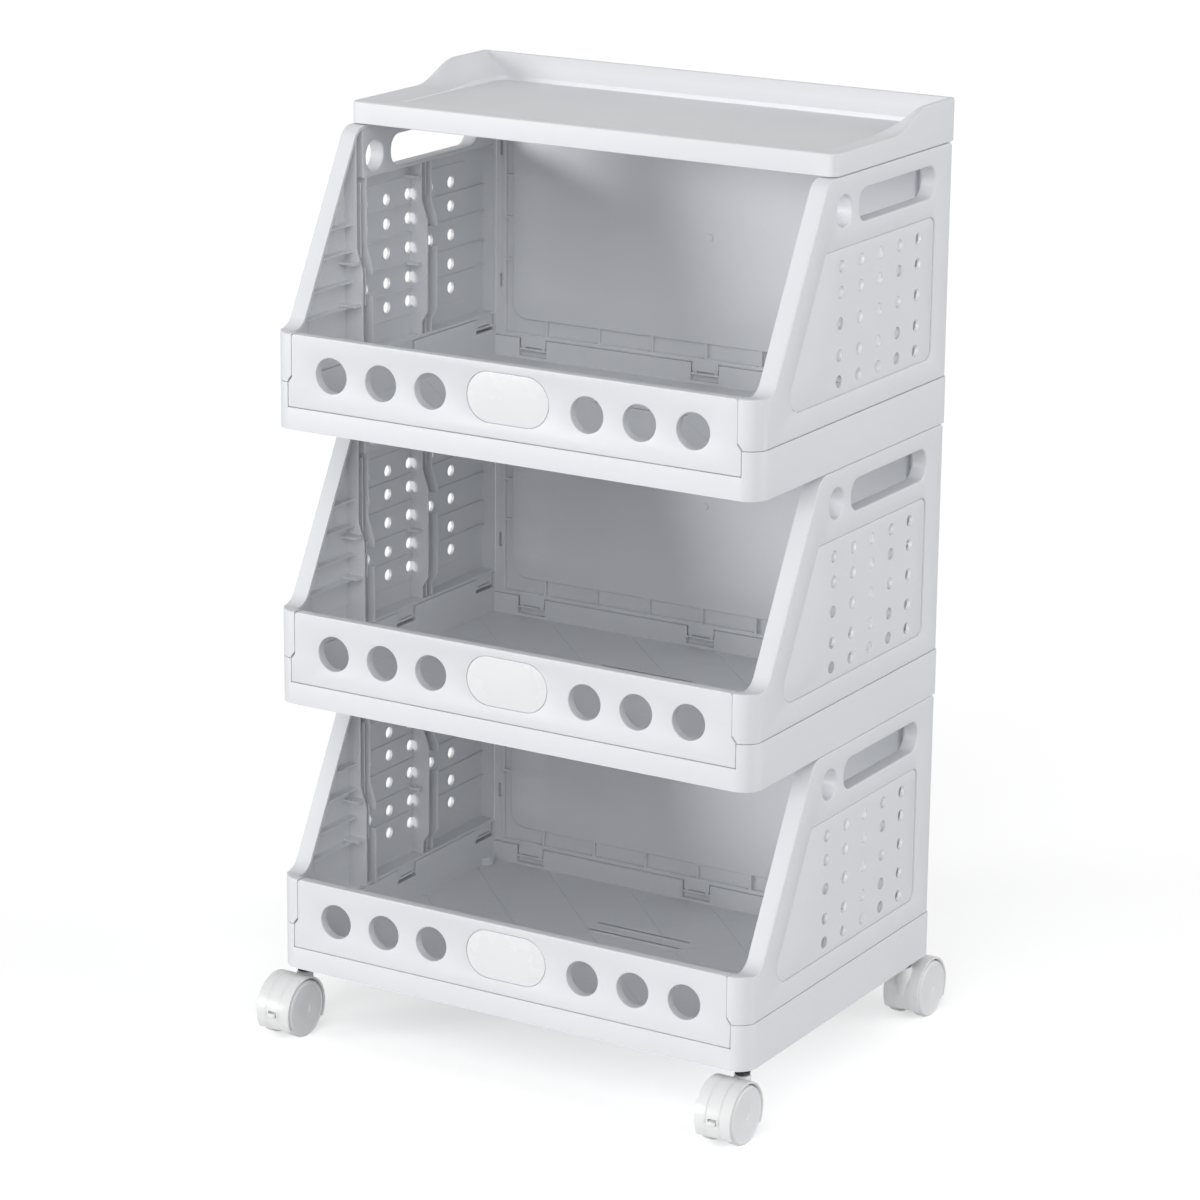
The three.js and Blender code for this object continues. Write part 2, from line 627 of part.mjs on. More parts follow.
function wheel(side) {
  const bore = axleRadius + touchGap;
  const boreDepth = wheelWidth - wheelBoreEnd;
  const profile = [
    [0, boreDepth],
    [bore, boreDepth],
    [bore, 0],
    [wheelRadius - wheelEdge, 0],
    [wheelRadius, wheelEdge],
    [wheelRadius, wheelWidth - wheelEdge],
    [wheelRadius - wheelEdge, wheelWidth],
    [0, wheelWidth],
  ];
  const geometry = toGeometry(lathed(profile, 16)).rotateY(side * (Math.PI / 2));
  return toSolid(geometry.translate(side * wheelInner, -trail, -axleBelowBase));
}

function axle() {
  const half = wheelInner + wheelWidth - wheelBoreEnd - touchGap;
  return alongX(circle(-trail, -axleBelowBase, axleRadius, 8), -half, half);
}

function casterStem() {
  return lathed([
    [0, -stem.bottom],
    [stem.radius, -stem.bottom],
    [stem.radius, -stem.collarBottom],
    [stem.collarRadius, -stem.collarBottom],
    [stem.collarRadius, -stem.collarTop],
    [stem.radius, -stem.collarTop],
    [stem.radius, stem.top],
    [0, stem.top],
  ], 10);
}

function socketSleeve() {
  const bore = stem.radius + touchGap;
  return lathed([
    [bore, -sleeve.flangeBottom],
    [sleeve.flangeRadius, -sleeve.flangeBottom],
    [sleeve.flangeRadius, -touchGap],
    [sleeve.radius, -touchGap],
    [sleeve.radius, sleeve.top],
    [bore, sleeve.top],
    [bore, -sleeve.flangeBottom],
  ], 12);
}

// Materials and assembly

const plastic = (color, roughness) => new THREE.MeshStandardMaterial({ color, roughness, metalness: 0 });
const steel = (color) => new THREE.MeshStandardMaterial({ color, roughness: 0.25, metalness: 1 });
const shellRoughness = 0.42;
const shellColor = 0xe4e6e8;
const labelColor = 0xf0f1f3;
const casterColor = 0xf1f2f3;
const wheelColor = 0xe3e5e8;

function named(name, solid, material) {
  const mesh = new THREE.Mesh(toGeometry(solid), material);
  mesh.name = name;
  return mesh;
}

const cart = new THREE.Group();

tierNames.forEach((tier, index) => {
  const crate = new THREE.Group();
  crate.position.z = baseHeight + index * tierPitch;
  crate.add(
    named(`${tier}_base_frame`, baseFrame(index === 0), plastic(shellColor, shellRoughness)),
    named(`${tier}_front_panel`, frontPanel(), plastic(shellColor, shellRoughness)),
    named(`${tier}_label_plate`, labelPlate(), plastic(labelColor, 0.3)),
    named(`${tier}_left_side_panel`, sidePanel(-1), plastic(shellColor, shellRoughness)),
    named(`${tier}_right_side_panel`, sidePanel(1), plastic(shellColor, shellRoughness)),
    named(`${tier}_back_panel`, backPanel(), plastic(shellColor, shellRoughness)),
  );
  cart.add(crate);
});

const top = named("top_tray", topTray(), plastic(shellColor, shellRoughness));
top.position.z = baseHeight + tierNames.length * tierPitch;
cart.add(top);

for (const { name, x, y, facesRear } of casterPlaces()) {
  const caster = new THREE.Group();
  caster.position.set(x, y, baseHeight);
  caster.rotation.z = facesRear ? Math.PI : 0;
  caster.add(
    named(`${name}_socket_sleeve`, socketSleeve(), plastic(wheelColor, 0.5)),
    named(`${name}_stem`, casterStem(), steel(0xc9ccd0)),
    named(`${name}_hood`, casterHood(), plastic(casterColor, 0.35)),
    named(`${name}_axle`, axle(), steel(0xb4b8bc)),
    named(`${name}_wheel_a`, wheel(-1), plastic(wheelColor, 0.4)),
    named(`${name}_wheel_b`, wheel(1), plastic(wheelColor, 0.4)),
    named(`${name}_brake_lever`, brakeLever(), plastic(casterColor, 0.35)),
  );
  cart.add(caster);
}

export default cart;
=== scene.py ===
# Looks of the rolling storage cart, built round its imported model.
# Lengths are in millimetres; the studio's floor and the camera's place and farthest sight are in metres.
import math
import bmesh
import bpy
from mathutils import Matrix, Vector
from mathutils.geometry import delaunay_2d_cdt


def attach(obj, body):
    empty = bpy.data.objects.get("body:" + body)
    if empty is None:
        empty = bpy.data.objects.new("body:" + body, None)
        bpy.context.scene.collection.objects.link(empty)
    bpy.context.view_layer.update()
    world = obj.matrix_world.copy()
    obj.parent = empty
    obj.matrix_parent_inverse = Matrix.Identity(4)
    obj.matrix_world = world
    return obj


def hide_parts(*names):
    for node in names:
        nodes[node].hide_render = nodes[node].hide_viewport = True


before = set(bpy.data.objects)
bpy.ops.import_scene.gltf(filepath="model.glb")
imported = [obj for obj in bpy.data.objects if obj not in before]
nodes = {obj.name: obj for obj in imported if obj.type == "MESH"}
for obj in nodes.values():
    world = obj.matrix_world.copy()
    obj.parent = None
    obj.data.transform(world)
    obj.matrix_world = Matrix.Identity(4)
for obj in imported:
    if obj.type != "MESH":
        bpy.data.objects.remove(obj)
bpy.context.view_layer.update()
mm = 0.001

cart = {
    "width": 425.0, "depth": 300.0, "pitch": 220.0, "baseHeight": 54.0,
    "tiers": ["lower", "middle", "upper"], "rimTop": 37.0, "flapTop": 75.0, "panelTop": 219.2,
    "frontRadius": 16.0, "rearRadius": 4.5, "rimWidth": 14.0,
}
halfWidth = cart["width"] / 2
innerHalf = halfWidth - cart["rimWidth"]
frontPlane = -cart["depth"] / 2
rearPlane = cart["depth"] / 2
quarterTurn = math.pi / 2
sharpAngle = math.radians(38)  # edges that turn further are shaded sharp


def fromFront(distance):
    return frontPlane + distance


# Outlines

def roundedLoop(corners, steps=6):
    points = []
    for index, corner in enumerate(corners):
        here = Vector(corner[:2])
        radius = corner[2] if len(corner) > 2 else 0
        if radius <= 0:
            points.append(here)
            continue
        back = (Vector(corners[index - 1][:2]) - here).normalized()
        ahead = (Vector(corners[(index + 1) % len(corners)][:2]) - here).normalized()
        half = back.angle(ahead) / 2
        centre = here + (back + ahead).normalized() * (radius / math.sin(half))
        arm = here + back * (radius / math.tan(half)) - centre
        turn = (math.pi - 2 * half) * (1 if ahead.cross(back) > 0 else -1)
        for step in range(steps + 1):
            angle = turn * step / steps
            cosine, sine = math.cos(angle), math.sin(angle)
            points.append(centre + Vector((arm.x * cosine - arm.y * sine, arm.x * sine + arm.y * cosine)))
    return points


# adds the left half to the corners of the right half
def evenLoop(right, steps):
    left = [(-across, *rest) for across, *rest in reversed(right)]
    return roundedLoop([left[-1], *right, *left[:-1]], steps)


def rectangleLoop(left, right, bottom, top, radius=0.0, steps=6):
    places = ((left, bottom), (right, bottom), (right, top), (left, top))
    return roundedLoop([(*place, radius) for place in places], steps)


def circleLoop(across, up, radius, sides=48):
    turns = [2 * math.pi * (index + 0.5) / sides for index in range(sides)]
    return [Vector((across + radius * math.cos(turn), up + radius * math.sin(turn))) for turn in turns]


# the radius is a little under half the height, so that no two corners meet in one point
def stadiumLoop(centreAcross, centreUp, length, height, steps=14):
    return rectangleLoop(centreAcross - length / 2, centreAcross + length / 2,
                         centreUp - height / 2, centreUp + height / 2, height / 2 - 0.05, steps)


def offsetLoop(loop, distance):  # positive makes the loop larger
    count = len(loop)
    area = sum(loop[index - 1].cross(loop[index]) for index in range(count))
    sign = 1 if area > 0 else -1
    moved = []
    for index in range(count):
        before = (loop[index] - loop[index - 1]).normalized()
        after = (loop[(index + 1) % count] - loop[index]).normalized()
        normalBefore = Vector((before.y, -before.x))
        normalAfter = Vector((after.y, -after.x))
        stretch = sign * distance / (1 + normalBefore.dot(normalAfter))
        moved.append(loop[index] + (normalBefore + normalAfter) * stretch)
    return moved


def planLoop(margin=0.0, steps=24):  # the cart seen from above
    half = halfWidth - margin
    return evenLoop([(half, frontPlane + margin, cart["frontRadius"] - margin),
                     (half, rearPlane - margin, cart["rearRadius"] - margin)], steps)


# how many edges lie straight to the right of a place
def crossings(place, points, edges):
    count = 0
    for start, end in edges:
        low, high = points[start], points[end]
        if (low.y > place.y) != (high.y > place.y):
            count += low.x + (place.y - low.y) / (high.y - low.y) * (high.x - low.x) > place.x
    return count


# Closed shells made of rings, strips between rings, and flat caps

class Shell:
    def __init__(self, axis):
        self.axis = "xyz".index(axis)
        self.points = []
        self.faces = []
        self.smooth = []

    def ring(self, loop, depth):
        places = [list(point) for point in loop]
        for place in places:
            place.insert(self.axis, depth)
        return self.ringAt(places)

    def ringAt(self, places):
        start = len(self.points)
        self.points += [Vector(place) for place in places]
        return list(range(start, start + len(places)))

    def strip(self, rings, smooth=True):
        for ring, nextRing in zip(rings, rings[1:]):
            count = len(ring)
            for index in range(count):
                following = (index + 1) % count
                self.faces.append((ring[index], ring[following], nextRing[following], nextRing[index]))
                self.smooth.append(smooth)

    # fills the flat area inside the outer ring and outside the holes
    def cap(self, outer, holes=()):
        order, flat, edges = [], [], []
        for loop in (outer, *holes):
            start = len(order)
            order += loop
            edges += [(start + index, start + (index + 1) % len(loop)) for index in range(len(loop))]
        for index in order:
            place = list(self.points[index])
            del place[self.axis]
            flat.append(Vector(place))
        places, _, faces, origins, _, _ = delaunay_2d_cdt(flat, edges, [], 0, 1e-5)
        assert len(places) == len(flat) and all(len(origin) == 1 for origin in origins)
        for face in faces:
            middle = sum((places[index] for index in face), Vector((0, 0))) / 3
            if crossings(middle, flat, edges) % 2:
                self.faces.append(tuple(order[origins[index][0]] for index in face))
                self.smooth.append(False)

    # rings of one wall between two depths, with rounded ends; side is -1 for an outer wall and 1 for a hole
    def wall(self, loop, low, high, lowRound, highRound, side, steps=4):
        rings = []
        for end, radius, way in ((low, lowRound, 1), (high, highRound, -1)):
            for step in range(steps + 1 if radius else 1):
                angle = quarterTurn * (step if way > 0 else steps - step) / steps
                shifted = offsetLoop(loop, side * radius * (1 - math.sin(angle))) if radius else loop
                rings.append(self.ring(shifted, end + way * radius * (1 - math.cos(angle))))
        self.strip(rings)
        return rings

    # rings of an edge that runs into the loop; edge holds (distance in, distance along the axis)
    def inward(self, loop, depth, way, edge):
        return [self.ring(offsetLoop(loop, -run), depth + way * drop) for run, drop in edge]

    # joins the rings and fills the first and the last
    def closed(self, rings):
        self.strip(rings)
        self.cap(rings[0])
        self.cap(rings[-1])
        return self

    def plate(self, outline, low, high, lowRound=0.0, highRound=0.0, holes=(), steps=4):
        rings = self.wall(outline, low, high, lowRound, highRound, -1, steps)
        holeRings = [self.wall(hole, low, high, lowRound, highRound, 1, 3) for hole in holes]
        self.cap(rings[0], [ring[0] for ring in holeRings])
        self.cap(rings[-1], [ring[-1] for ring in holeRings])
        return self

    def bmesh(self):
        made = bmesh.new()
        points = [made.verts.new(point * mm) for point in self.points]
        for face, smooth in zip(self.faces, self.smooth):
            if len({tuple(self.points[index]) for index in face}) < 3:
                continue
            made.faces.new([points[index] for index in face]).smooth = smooth
        bmesh.ops.remove_doubles(made, verts=made.verts, dist=2e-6)
        bmesh.ops.recalc_face_normals(made, faces=made.faces)
        return made


def plate(axis, outline, low, high, **rounding):
    low, high = sorted((low, high))
    return Shell(axis).plate(outline, low, high, **rounding)


def lathe(profile, axis, centre, sides=48):  # profile of (radius, place along the axis), from pole to pole
    shell = Shell(axis)
    rings = []
    for radius, depth in profile:
        rings.append(shell.ring(circleLoop(centre[0], centre[1], max(radius, 0.0005), sides), depth))
    return shell.closed(rings)


def meshFrom(shells):
    whole = bmesh.new()
    for shell in shells:
        if isinstance(shell, bpy.types.Mesh):
            whole.from_mesh(shell)
            continue
        part = shell.bmesh()
        carrier = bpy.data.meshes.new("carrier")
        part.to_mesh(carrier)
        part.free()
        whole.from_mesh(carrier)
        bpy.data.meshes.remove(carrier)
    mesh = bpy.data.meshes.new("part")
    whole.to_mesh(mesh)
    whole.free()
    mesh.set_sharp_from_angle(angle=sharpAngle)
    return mesh


def newObject(name, data):
    made = bpy.data.objects.new(name, data)
    bpy.context.scene.collection.objects.link(made)
    return made


# the mesh that an object's modifiers make
def evaluated(item):
    graph = bpy.context.evaluated_depsgraph_get()
    return bpy.data.meshes.new_from_object(item.evaluated_get(graph))


def carved(shell, tool, operation):
    piece = newObject("carvedPiece", meshFrom([shell]))
    cutter = newObject("carvingTool", meshFrom([tool]))
    modifier = piece.modifiers.new("carve", "BOOLEAN")
    modifier.object = cutter
    modifier.operation = operation
    modifier.solver = "EXACT"
    mesh = evaluated(piece)
    for item in (piece, cutter):
        data = item.data
        bpy.data.objects.remove(item)
        bpy.data.meshes.remove(data)
    for face in mesh.polygons:
        if max(abs(value) for value in face.normal) > 0.99999:
            face.use_smooth = False
    return mesh


# look pairs a material slot's name, which is not used, with its finish
def addPiece(name, mesh, body, look, replaced, shift, turn=None):
    copy = mesh.copy()
    copy.name = name
    if turn is not None:
        copy.transform(turn)
        if turn.determinant() < 0:
            copy.flip_normals()
    copy.transform(Matrix.Translation(Vector(shift) * mm))
    piece = newObject(name, copy)
    slot, finish = look
    copy.materials.append(finish)
    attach(piece, body)
    for node in replaced:
        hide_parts(node)


# Finishes

# a value that is a socket is linked, and a node stands for its first output
def setInputs(tree, node, inputs):
    for key, value in inputs.items():
        if isinstance(value, bpy.types.Node):
            value = value.outputs[0]
        if isinstance(value, bpy.types.NodeSocket):
            tree.links.new(value, node.inputs[key])
        else:
            node.inputs[key].default_value = value


def addNode(tree, kind, inputs=None, **settings):
    node = tree.nodes.new(kind)
    for key, value in settings.items():
        setattr(node, key, value)
    setInputs(tree, node, inputs or {})
    return node


def calculated(tree, operation, first, second):
    return addNode(tree, "ShaderNodeMath", {0: first, 1: second}, operation=operation)


def newMaterial(name):
    material = bpy.data.materials.new(name)
    material.use_nodes = True
    tree = material.node_tree
    return material, tree, tree.nodes["Principled BSDF"]


def tinted(tree, factor, look, ends):
    ramp = addNode(tree, "ShaderNodeValToRGB", {"Fac": factor})
    for element, end, colour in zip(ramp.color_ramp.elements, ends, (look["shade"], look["colour"])):
        element.position = end
        element.color = (*colour, 1)
    return ramp


def mouldedPlastic(name, look, lattice=None):
    material, tree, shader = newMaterial(name)
    place = addNode(tree, "ShaderNodeTexCoord").outputs["Object"]

    def noise(scale, detail, **more):
        inputs = {"Vector": place, "Scale": look[scale], "Detail": detail, **more}
        return addNode(tree, "ShaderNodeTexNoise", inputs)

    cloud = noise("cloudScale", 4)
    smear = noise("smearScale", 6, Roughness=0.6)
    grain = noise("grainScale", 3)
    low, high = noiseRange
    middle, spread = look["roughness"], look["roughnessSpread"]
    polish = addNode(tree, "ShaderNodeMapRange", {
        "Value": smear, "From Min": low, "From Max": high,
        "To Min": middle - spread, "To Max": middle + spread})
    bump = addNode(tree, "ShaderNodeBump", {
        "Strength": look["grainStrength"], "Distance": 0.2 * mm, "Height": grain})
    if lattice:
        bump = addNode(tree, "ShaderNodeBump", {
            "Strength": 1, "Distance": lattice["depth"] * mm, "Height": latticeHeight(tree, place, lattice),
            "Normal": bump}, invert=True)
    setInputs(tree, shader, {
        "Base Color": tinted(tree, cloud, look, noiseRange), "Roughness": polish, "Normal": bump,
        "IOR": 1.49})
    return material


# two sets of diagonal lines pressed into the floor
def latticeHeight(tree, place, lattice):
    split = addNode(tree, "ShaderNodeSeparateXYZ", {"Vector": place})
    lines = []
    for operation in ("ADD", "SUBTRACT"):
        across = calculated(tree, operation, split.outputs["X"], split.outputs["Y"])
        folded = calculated(tree, "PINGPONG", across, lattice["spacing"] * mm / 2)
        lines.append(addNode(tree, "ShaderNodeMapRange", {
            "Value": folded, "From Min": 0, "From Max": lattice["lineWidth"] * mm,
            "To Min": 1, "To Max": 0}, interpolation_type="SMOOTHSTEP"))
    return calculated(tree, "MAXIMUM", *lines)


def polishedSteel(name, look):
    material, tree, shader = newMaterial(name)
    place = addNode(tree, "ShaderNodeTexCoord").outputs["Object"]
    # fine turning lines run round the stem as bumps, and the same noise paints dark and light bands into the
    # colour, a painted reflection
    stretch = addNode(tree, "ShaderNodeMapping", {"Vector": place, "Scale": (1, 1, look["stretch"])})
    lines = addNode(tree, "ShaderNodeTexNoise", {"Vector": stretch, "Scale": look["lineAndReflectionScale"], "Detail": 4})
    low, high = look["roughness"]
    polish = addNode(tree, "ShaderNodeMapRange", {"Value": lines, "To Min": low, "To Max": high})
    bump = addNode(tree, "ShaderNodeBump", {
        "Strength": look["lineStrength"], "Distance": 0.1 * mm, "Height": lines})
    setInputs(tree, shader, {
        "Base Color": tinted(tree, lines, look, (0, 1)), "Roughness": polish, "Normal": bump,
        "Metallic": 1})
    return material


noiseRange = (0.3, 0.7)  # where nearly all of a noise texture's values lie
finishes = {
    "cart": {
        "colour": (0.798, 0.811, 0.838), "shade": (0.778, 0.792, 0.82), "cloudScale": 5, "smearScale": 14,
        "roughness": 0.42, "roughnessSpread": 0.05, "grainScale": 1400, "grainStrength": 0.09},
    "label": {
        "colour": (0.865, 0.872, 0.882), "shade": (0.85, 0.858, 0.868), "cloudScale": 9, "smearScale": 30,
        "roughness": 0.27, "roughnessSpread": 0.04, "grainScale": 1800, "grainStrength": 0.03},
    "caster": {
        "colour": (0.865, 0.867, 0.872), "shade": (0.85, 0.852, 0.858), "cloudScale": 16, "smearScale": 40,
        "roughness": 0.3, "roughnessSpread": 0.05, "grainScale": 1800, "grainStrength": 0.04},
    "wheel": {
        "colour": (0.85, 0.856, 0.876), "shade": (0.825, 0.832, 0.852), "cloudScale": 24, "smearScale": 60,
        "roughness": 0.46, "roughnessSpread": 0.07, "grainScale": 1600, "grainStrength": 0.12},
    # painted dark reflection: colour and shade are far darker than bright chrome, so the steel looks as if
    # it reflects a dark room
    "steel": {
        "colour": (0.2, 0.205, 0.215), "shade": (0.04, 0.04, 0.045), "roughness": (0.072, 0.18),
        "lineAndReflectionScale": 60, "stretch": 26, "lineStrength": 0.12},
    "lattice": {"spacing": 79.2, "lineWidth": 1.3, "depth": 0.35},
}
cartLook = ("cart_plastic", mouldedPlastic("cartPlastic", finishes["cart"]))
floorLook = ("cart_plastic", mouldedPlastic("cartFloorPlastic", finishes["cart"], finishes["lattice"]))
labelLook = ("label_plastic", mouldedPlastic("labelPlastic", finishes["label"]))
casterLook = ("caster_plastic", mouldedPlastic("casterPlastic", finishes["caster"]))
wheelLook = ("wheel_plastic", mouldedPlastic("wheelPlastic", finishes["wheel"]))
steelLook = ("steel", polishedSteel("stemSteel", finishes["steel"]))
print("finishes made")

# Repeated small forms, set on points by Geometry Nodes

def newTree(name, *sizes):
    tree = bpy.data.node_groups.new(name, "GeometryNodeTree")
    identifiers = {}

    def addSocket(label, kind, way="INPUT"):
        socket = tree.interface.new_socket(name=label, in_out=way, socket_type="NodeSocket" + kind)
        identifiers[label] = socket.identifier

    addSocket("points", "Geometry")
    for size in sizes:
        addSocket(size, "Float")
    addSocket("finish", "Material")
    addSocket("shapes", "Geometry", "OUTPUT")
    tree.is_modifier = True
    return tree, tree.nodes.new("NodeGroupInput"), identifiers


# sets the shape on each point and paints all of them
def closeTree(tree, start, shape, scale=None):
    inputs = {"Points": start.outputs["points"], "Instance": shape}
    if scale:
        inputs["Scale"] = scale
    spread = addNode(tree, "GeometryNodeInstanceOnPoints", inputs)
    realize = addNode(tree, "GeometryNodeRealizeInstances", {"Geometry": spread})
    paint = addNode(tree, "GeometryNodeSetMaterial", {
        "Geometry": realize, "Material": start.outputs["finish"]})
    addNode(tree, "NodeGroupOutput", {"shapes": paint})


# a small block at each point, as large as the point's own blockSize says
def blockTree():
    tree, start, identifiers = newTree("blocksOnPoints")
    cube = addNode(tree, "GeometryNodeMeshCube")
    size = addNode(tree, "GeometryNodeInputNamedAttribute", data_type="FLOAT_VECTOR")
    size.inputs["Name"].default_value = "blockSize"
    closeTree(tree, start, cube, size)
    return tree, identifiers


# a short lining tube round each point, its axis along X
def liningTree():
    tree, start, identifiers = newTree("holeLinings", "middleRadius", "wallWidth", "tubeLength")
    circle = addNode(tree, "GeometryNodeCurvePrimitiveCircle", {
        "Resolution": 16, "Radius": start.outputs["middleRadius"]})
    profile = addNode(tree, "GeometryNodeCurvePrimitiveQuadrilateral", {
        "Width": start.outputs["wallWidth"], "Height": start.outputs["tubeLength"]})
    sweep = addNode(tree, "GeometryNodeCurveToMesh", {"Curve": circle, "Profile Curve": profile})
    flat = addNode(tree, "GeometryNodeSetShadeSmooth", {"Geometry": sweep, "Shade Smooth": False})
    stand = addNode(tree, "GeometryNodeTransform", {"Geometry": flat, "Rotation": (0, quarterTurn, 0)})
    closeTree(tree, start, stand)
    return tree, identifiers


def grown(tree, identifiers, places, sizes, values):
    mesh = bpy.data.meshes.new("points")
    mesh.from_pydata([Vector(place) * mm for place in places], [], [])
    if sizes:
        attribute = mesh.attributes.new("blockSize", "FLOAT_VECTOR", "POINT")
        for index, size in enumerate(sizes):
            attribute.data[index].vector = Vector(size) * mm
    carrier = newObject("pointCarrier", mesh)
    modifier = carrier.modifiers.new("grow", "NODES")
    modifier.node_group = tree
    for label, value in values.items():
        modifier[identifiers[label]] = value
    made = evaluated(carrier)
    carrier.modifiers.remove(modifier)
    bpy.data.objects.remove(carrier)
    bpy.data.meshes.remove(mesh)
    made.materials.clear()
    return made


blocks, linings = blockTree(), liningTree()


def blocksAt(rows):  # each row is (x0, x1, y0, y1, z0, z1)
    places = [((row[0] + row[1]) / 2, (row[2] + row[3]) / 2, (row[4] + row[5]) / 2) for row in rows]
    sizes = [(abs(row[1] - row[0]), row[3] - row[2], row[5] - row[4]) for row in rows]
    return grown(*blocks, places, sizes, {"finish": cartLook[1]})


# Hinges: a round bar, and a tab that two small end blocks tie to it

hingeEnd = {"depth": 0.9, "reach": 1.4, "barRound": 0.3, "tabRound": 0.4, "sides": 16}


def hingeShells(axis, across, up, middle, tabTop, look):
    def spread(outline, place, reach, rounding=0.0):
        return plate(axis, outline, place - reach, place + reach, lowRound=rounding, highRound=rounding)

    depth, tabBottom = look["tabDepth"], up + look["tabGap"]
    tab = rectangleLoop(across - depth, across + depth, tabBottom, tabTop)
    end = rectangleLoop(across - hingeEnd["depth"], across + hingeEnd["depth"], up, tabBottom + 1)
    bar = circleLoop(across, up, look["bar"], hingeEnd["sides"])
    shells = [spread(bar, middle, look["barReach"], hingeEnd["barRound"]),
              spread(tab, middle, look["tabReach"], hingeEnd["tabRound"])]
    return shells + [spread(end, middle + side * look["endPlace"], hingeEnd["reach"]) for side in (-1, 1)]


# Side panels

sidePanel = {
    "skin": 2.2, "wall": 2.4, "slantRun": 0.535, "slantStart": -20.0, "slantRadius": 16.0, "front": 8.2,
    "rear": 295.55, "rearRadius": 3.0, "outerRound": 1.1, "innerRound": 0.12,
    "slot": (145.0, 269.0), "slotHeight": 25.0, "slotRadius": 11.5, "roundHole": (122.0, 12.0),
    "gripLevel": 193.5, "gripBottom": 177.5, "gripFront": 105.0, "gripGap": 1.2, "gripEdge": 1.5,
    "holeRadius": 4.8, "holeLining": 0.8, "holeDepth": 2.5, "holeStart": 121.0, "holeSpacing": 30.8,
    "holeLevels": [66.5, 86.0, 110.0, 133.5, 153.0],
    "insetLevels": (55.5, 167.0), "insetRear": 270.0, "insetBehind": 25.5, "insetDepth": 0.9,
    "insetRadii": (14.0, 8.0, 8.0, 6.0), "gripRadii": (2.0, 0.8, 1.2),
    "insetEdge": ((0, 0), (0.1, 0.05), (0.2, 1.9), (1.1, 1.9), (1.25, 0.95), (1.4, 0.9)), "padRise": 0.7,
    "padEdge": 0.6, "pairFronts": (95.0, 186.3), "pairSpacing": 14.0, "ribThickness": 2.0, "ribLow": 11.0,
    "ribHigh": 16.5, "ribBottom": 39.7, "ribRound": 0.5, "pivot": (200.5, 27.8),
    "hingeCentres": (162.0, 279.5), "hingeLength": 27.0,
}
sideHinge = {
    "bar": 1.2, "barReach": 16.9, "tabDepth": 1.2, "tabReach": 12.2, "tabGap": 2.3, "endPlace": 10.2,
}
skinInner = halfWidth - sidePanel["skin"]
panelBottom = cart["rimTop"] + 0.3


def slantAt(height, behind=0.0):
    return fromFront(sidePanel["slantStart"] + behind + sidePanel["slantRun"] * height)


def sideOutline():
    front, rear = fromFront(sidePanel["front"]), fromFront(sidePanel["rear"])
    top, slope, radius = cart["panelTop"], cart["flapTop"], sidePanel["slantRadius"]
    return roundedLoop([
        (front, panelBottom), (rear, panelBottom), (rear, top, sidePanel["rearRadius"]),
        (slantAt(top), top, radius), (slantAt(slope), slope, radius), (front, slope)], 10)


def insetOutline():
    low, high = sidePanel["insetLevels"]
    rear, behind = fromFront(sidePanel["insetRear"]), sidePanel["insetBehind"]
    places = ((slantAt(low, behind), low), (rear, low), (rear, high), (slantAt(high, behind), high))
    return roundedLoop([(*place, radius) for place, radius in zip(places, sidePanel["insetRadii"])])


def sideSkin():
    look = sidePanel
    shell = Shell("x")
    outline = sideOutline()
    rings = shell.wall(outline, innerHalf, halfWidth, look["innerRound"], look["outerRound"], -1, 5)
    innerLoop = offsetLoop(outline, -look["wall"])
    rim, back = shell.ring(innerLoop, innerHalf), shell.ring(innerLoop, skinInner)
    shell.cap(rings[0], [rim])
    shell.strip([rim, back])
    grips = [shell.wall(loop, skinInner, halfWidth, 0, look["gripEdge"], 1) for loop in gripLoops()]
    insetLoop = insetOutline()
    insetRings = shell.inward(insetLoop, halfWidth, -1, look["insetEdge"])
    shell.strip(insetRings, False)
    shell.cap(rings[-1], [insetRings[0], *[grip[-1] for grip in grips]])
    padFace = skinInner - look["padRise"]
    padRings = shell.inward(insetLoop, skinInner, -1, ((-look["padEdge"], 0), (0, look["padRise"])))
    shell.strip(padRings, False)
    shell.cap(back, [padRings[0], *[grip[0] for grip in grips]])
    radius, outer = look["holeRadius"] + look["holeLining"] / 2, halfWidth - look["insetDepth"]
    holes = [shell.wall(circleLoop(*place, radius, 16), padFace, outer, 0, 0, 1) for place in holePlaces()]
    shell.cap(insetRings[-1], [hole[-1] for hole in holes])
    shell.cap(padRings[-1], [hole[0] for hole in holes])
    return carved(shell, cornerWaste(), "DIFFERENCE")


# what lies outside the plan's rounded front corner
def cornerWaste():
    cornerEnd = fromFront(cart["frontRadius"])
    arc = [point for point in planLoop() if point.x > innerHalf and point.y < cornerEnd]
    outside = [Vector((halfWidth + 3, cornerEnd)), Vector((halfWidth + 3, frontPlane - 3))]
    return plate("z", [*arc, *outside], 0, cart["pitch"] + 5)


def holePlaces():
    columns = [fromFront(sidePanel["holeStart"] + sidePanel["holeSpacing"] * column) for column in range(5)]
    return [(across, level) for across in columns for level in sidePanel["holeLevels"]]


def gripLoops():
    front, rear = (fromFront(place) for place in sidePanel["slot"])
    level, half = sidePanel["gripLevel"], sidePanel["slotHeight"] / 2
    place, radius = sidePanel["roundHole"]
    return (rectangleLoop(front, rear, level - half, level + half, sidePanel["slotRadius"], 8),
            circleLoop(fromFront(place), level, radius, 40))


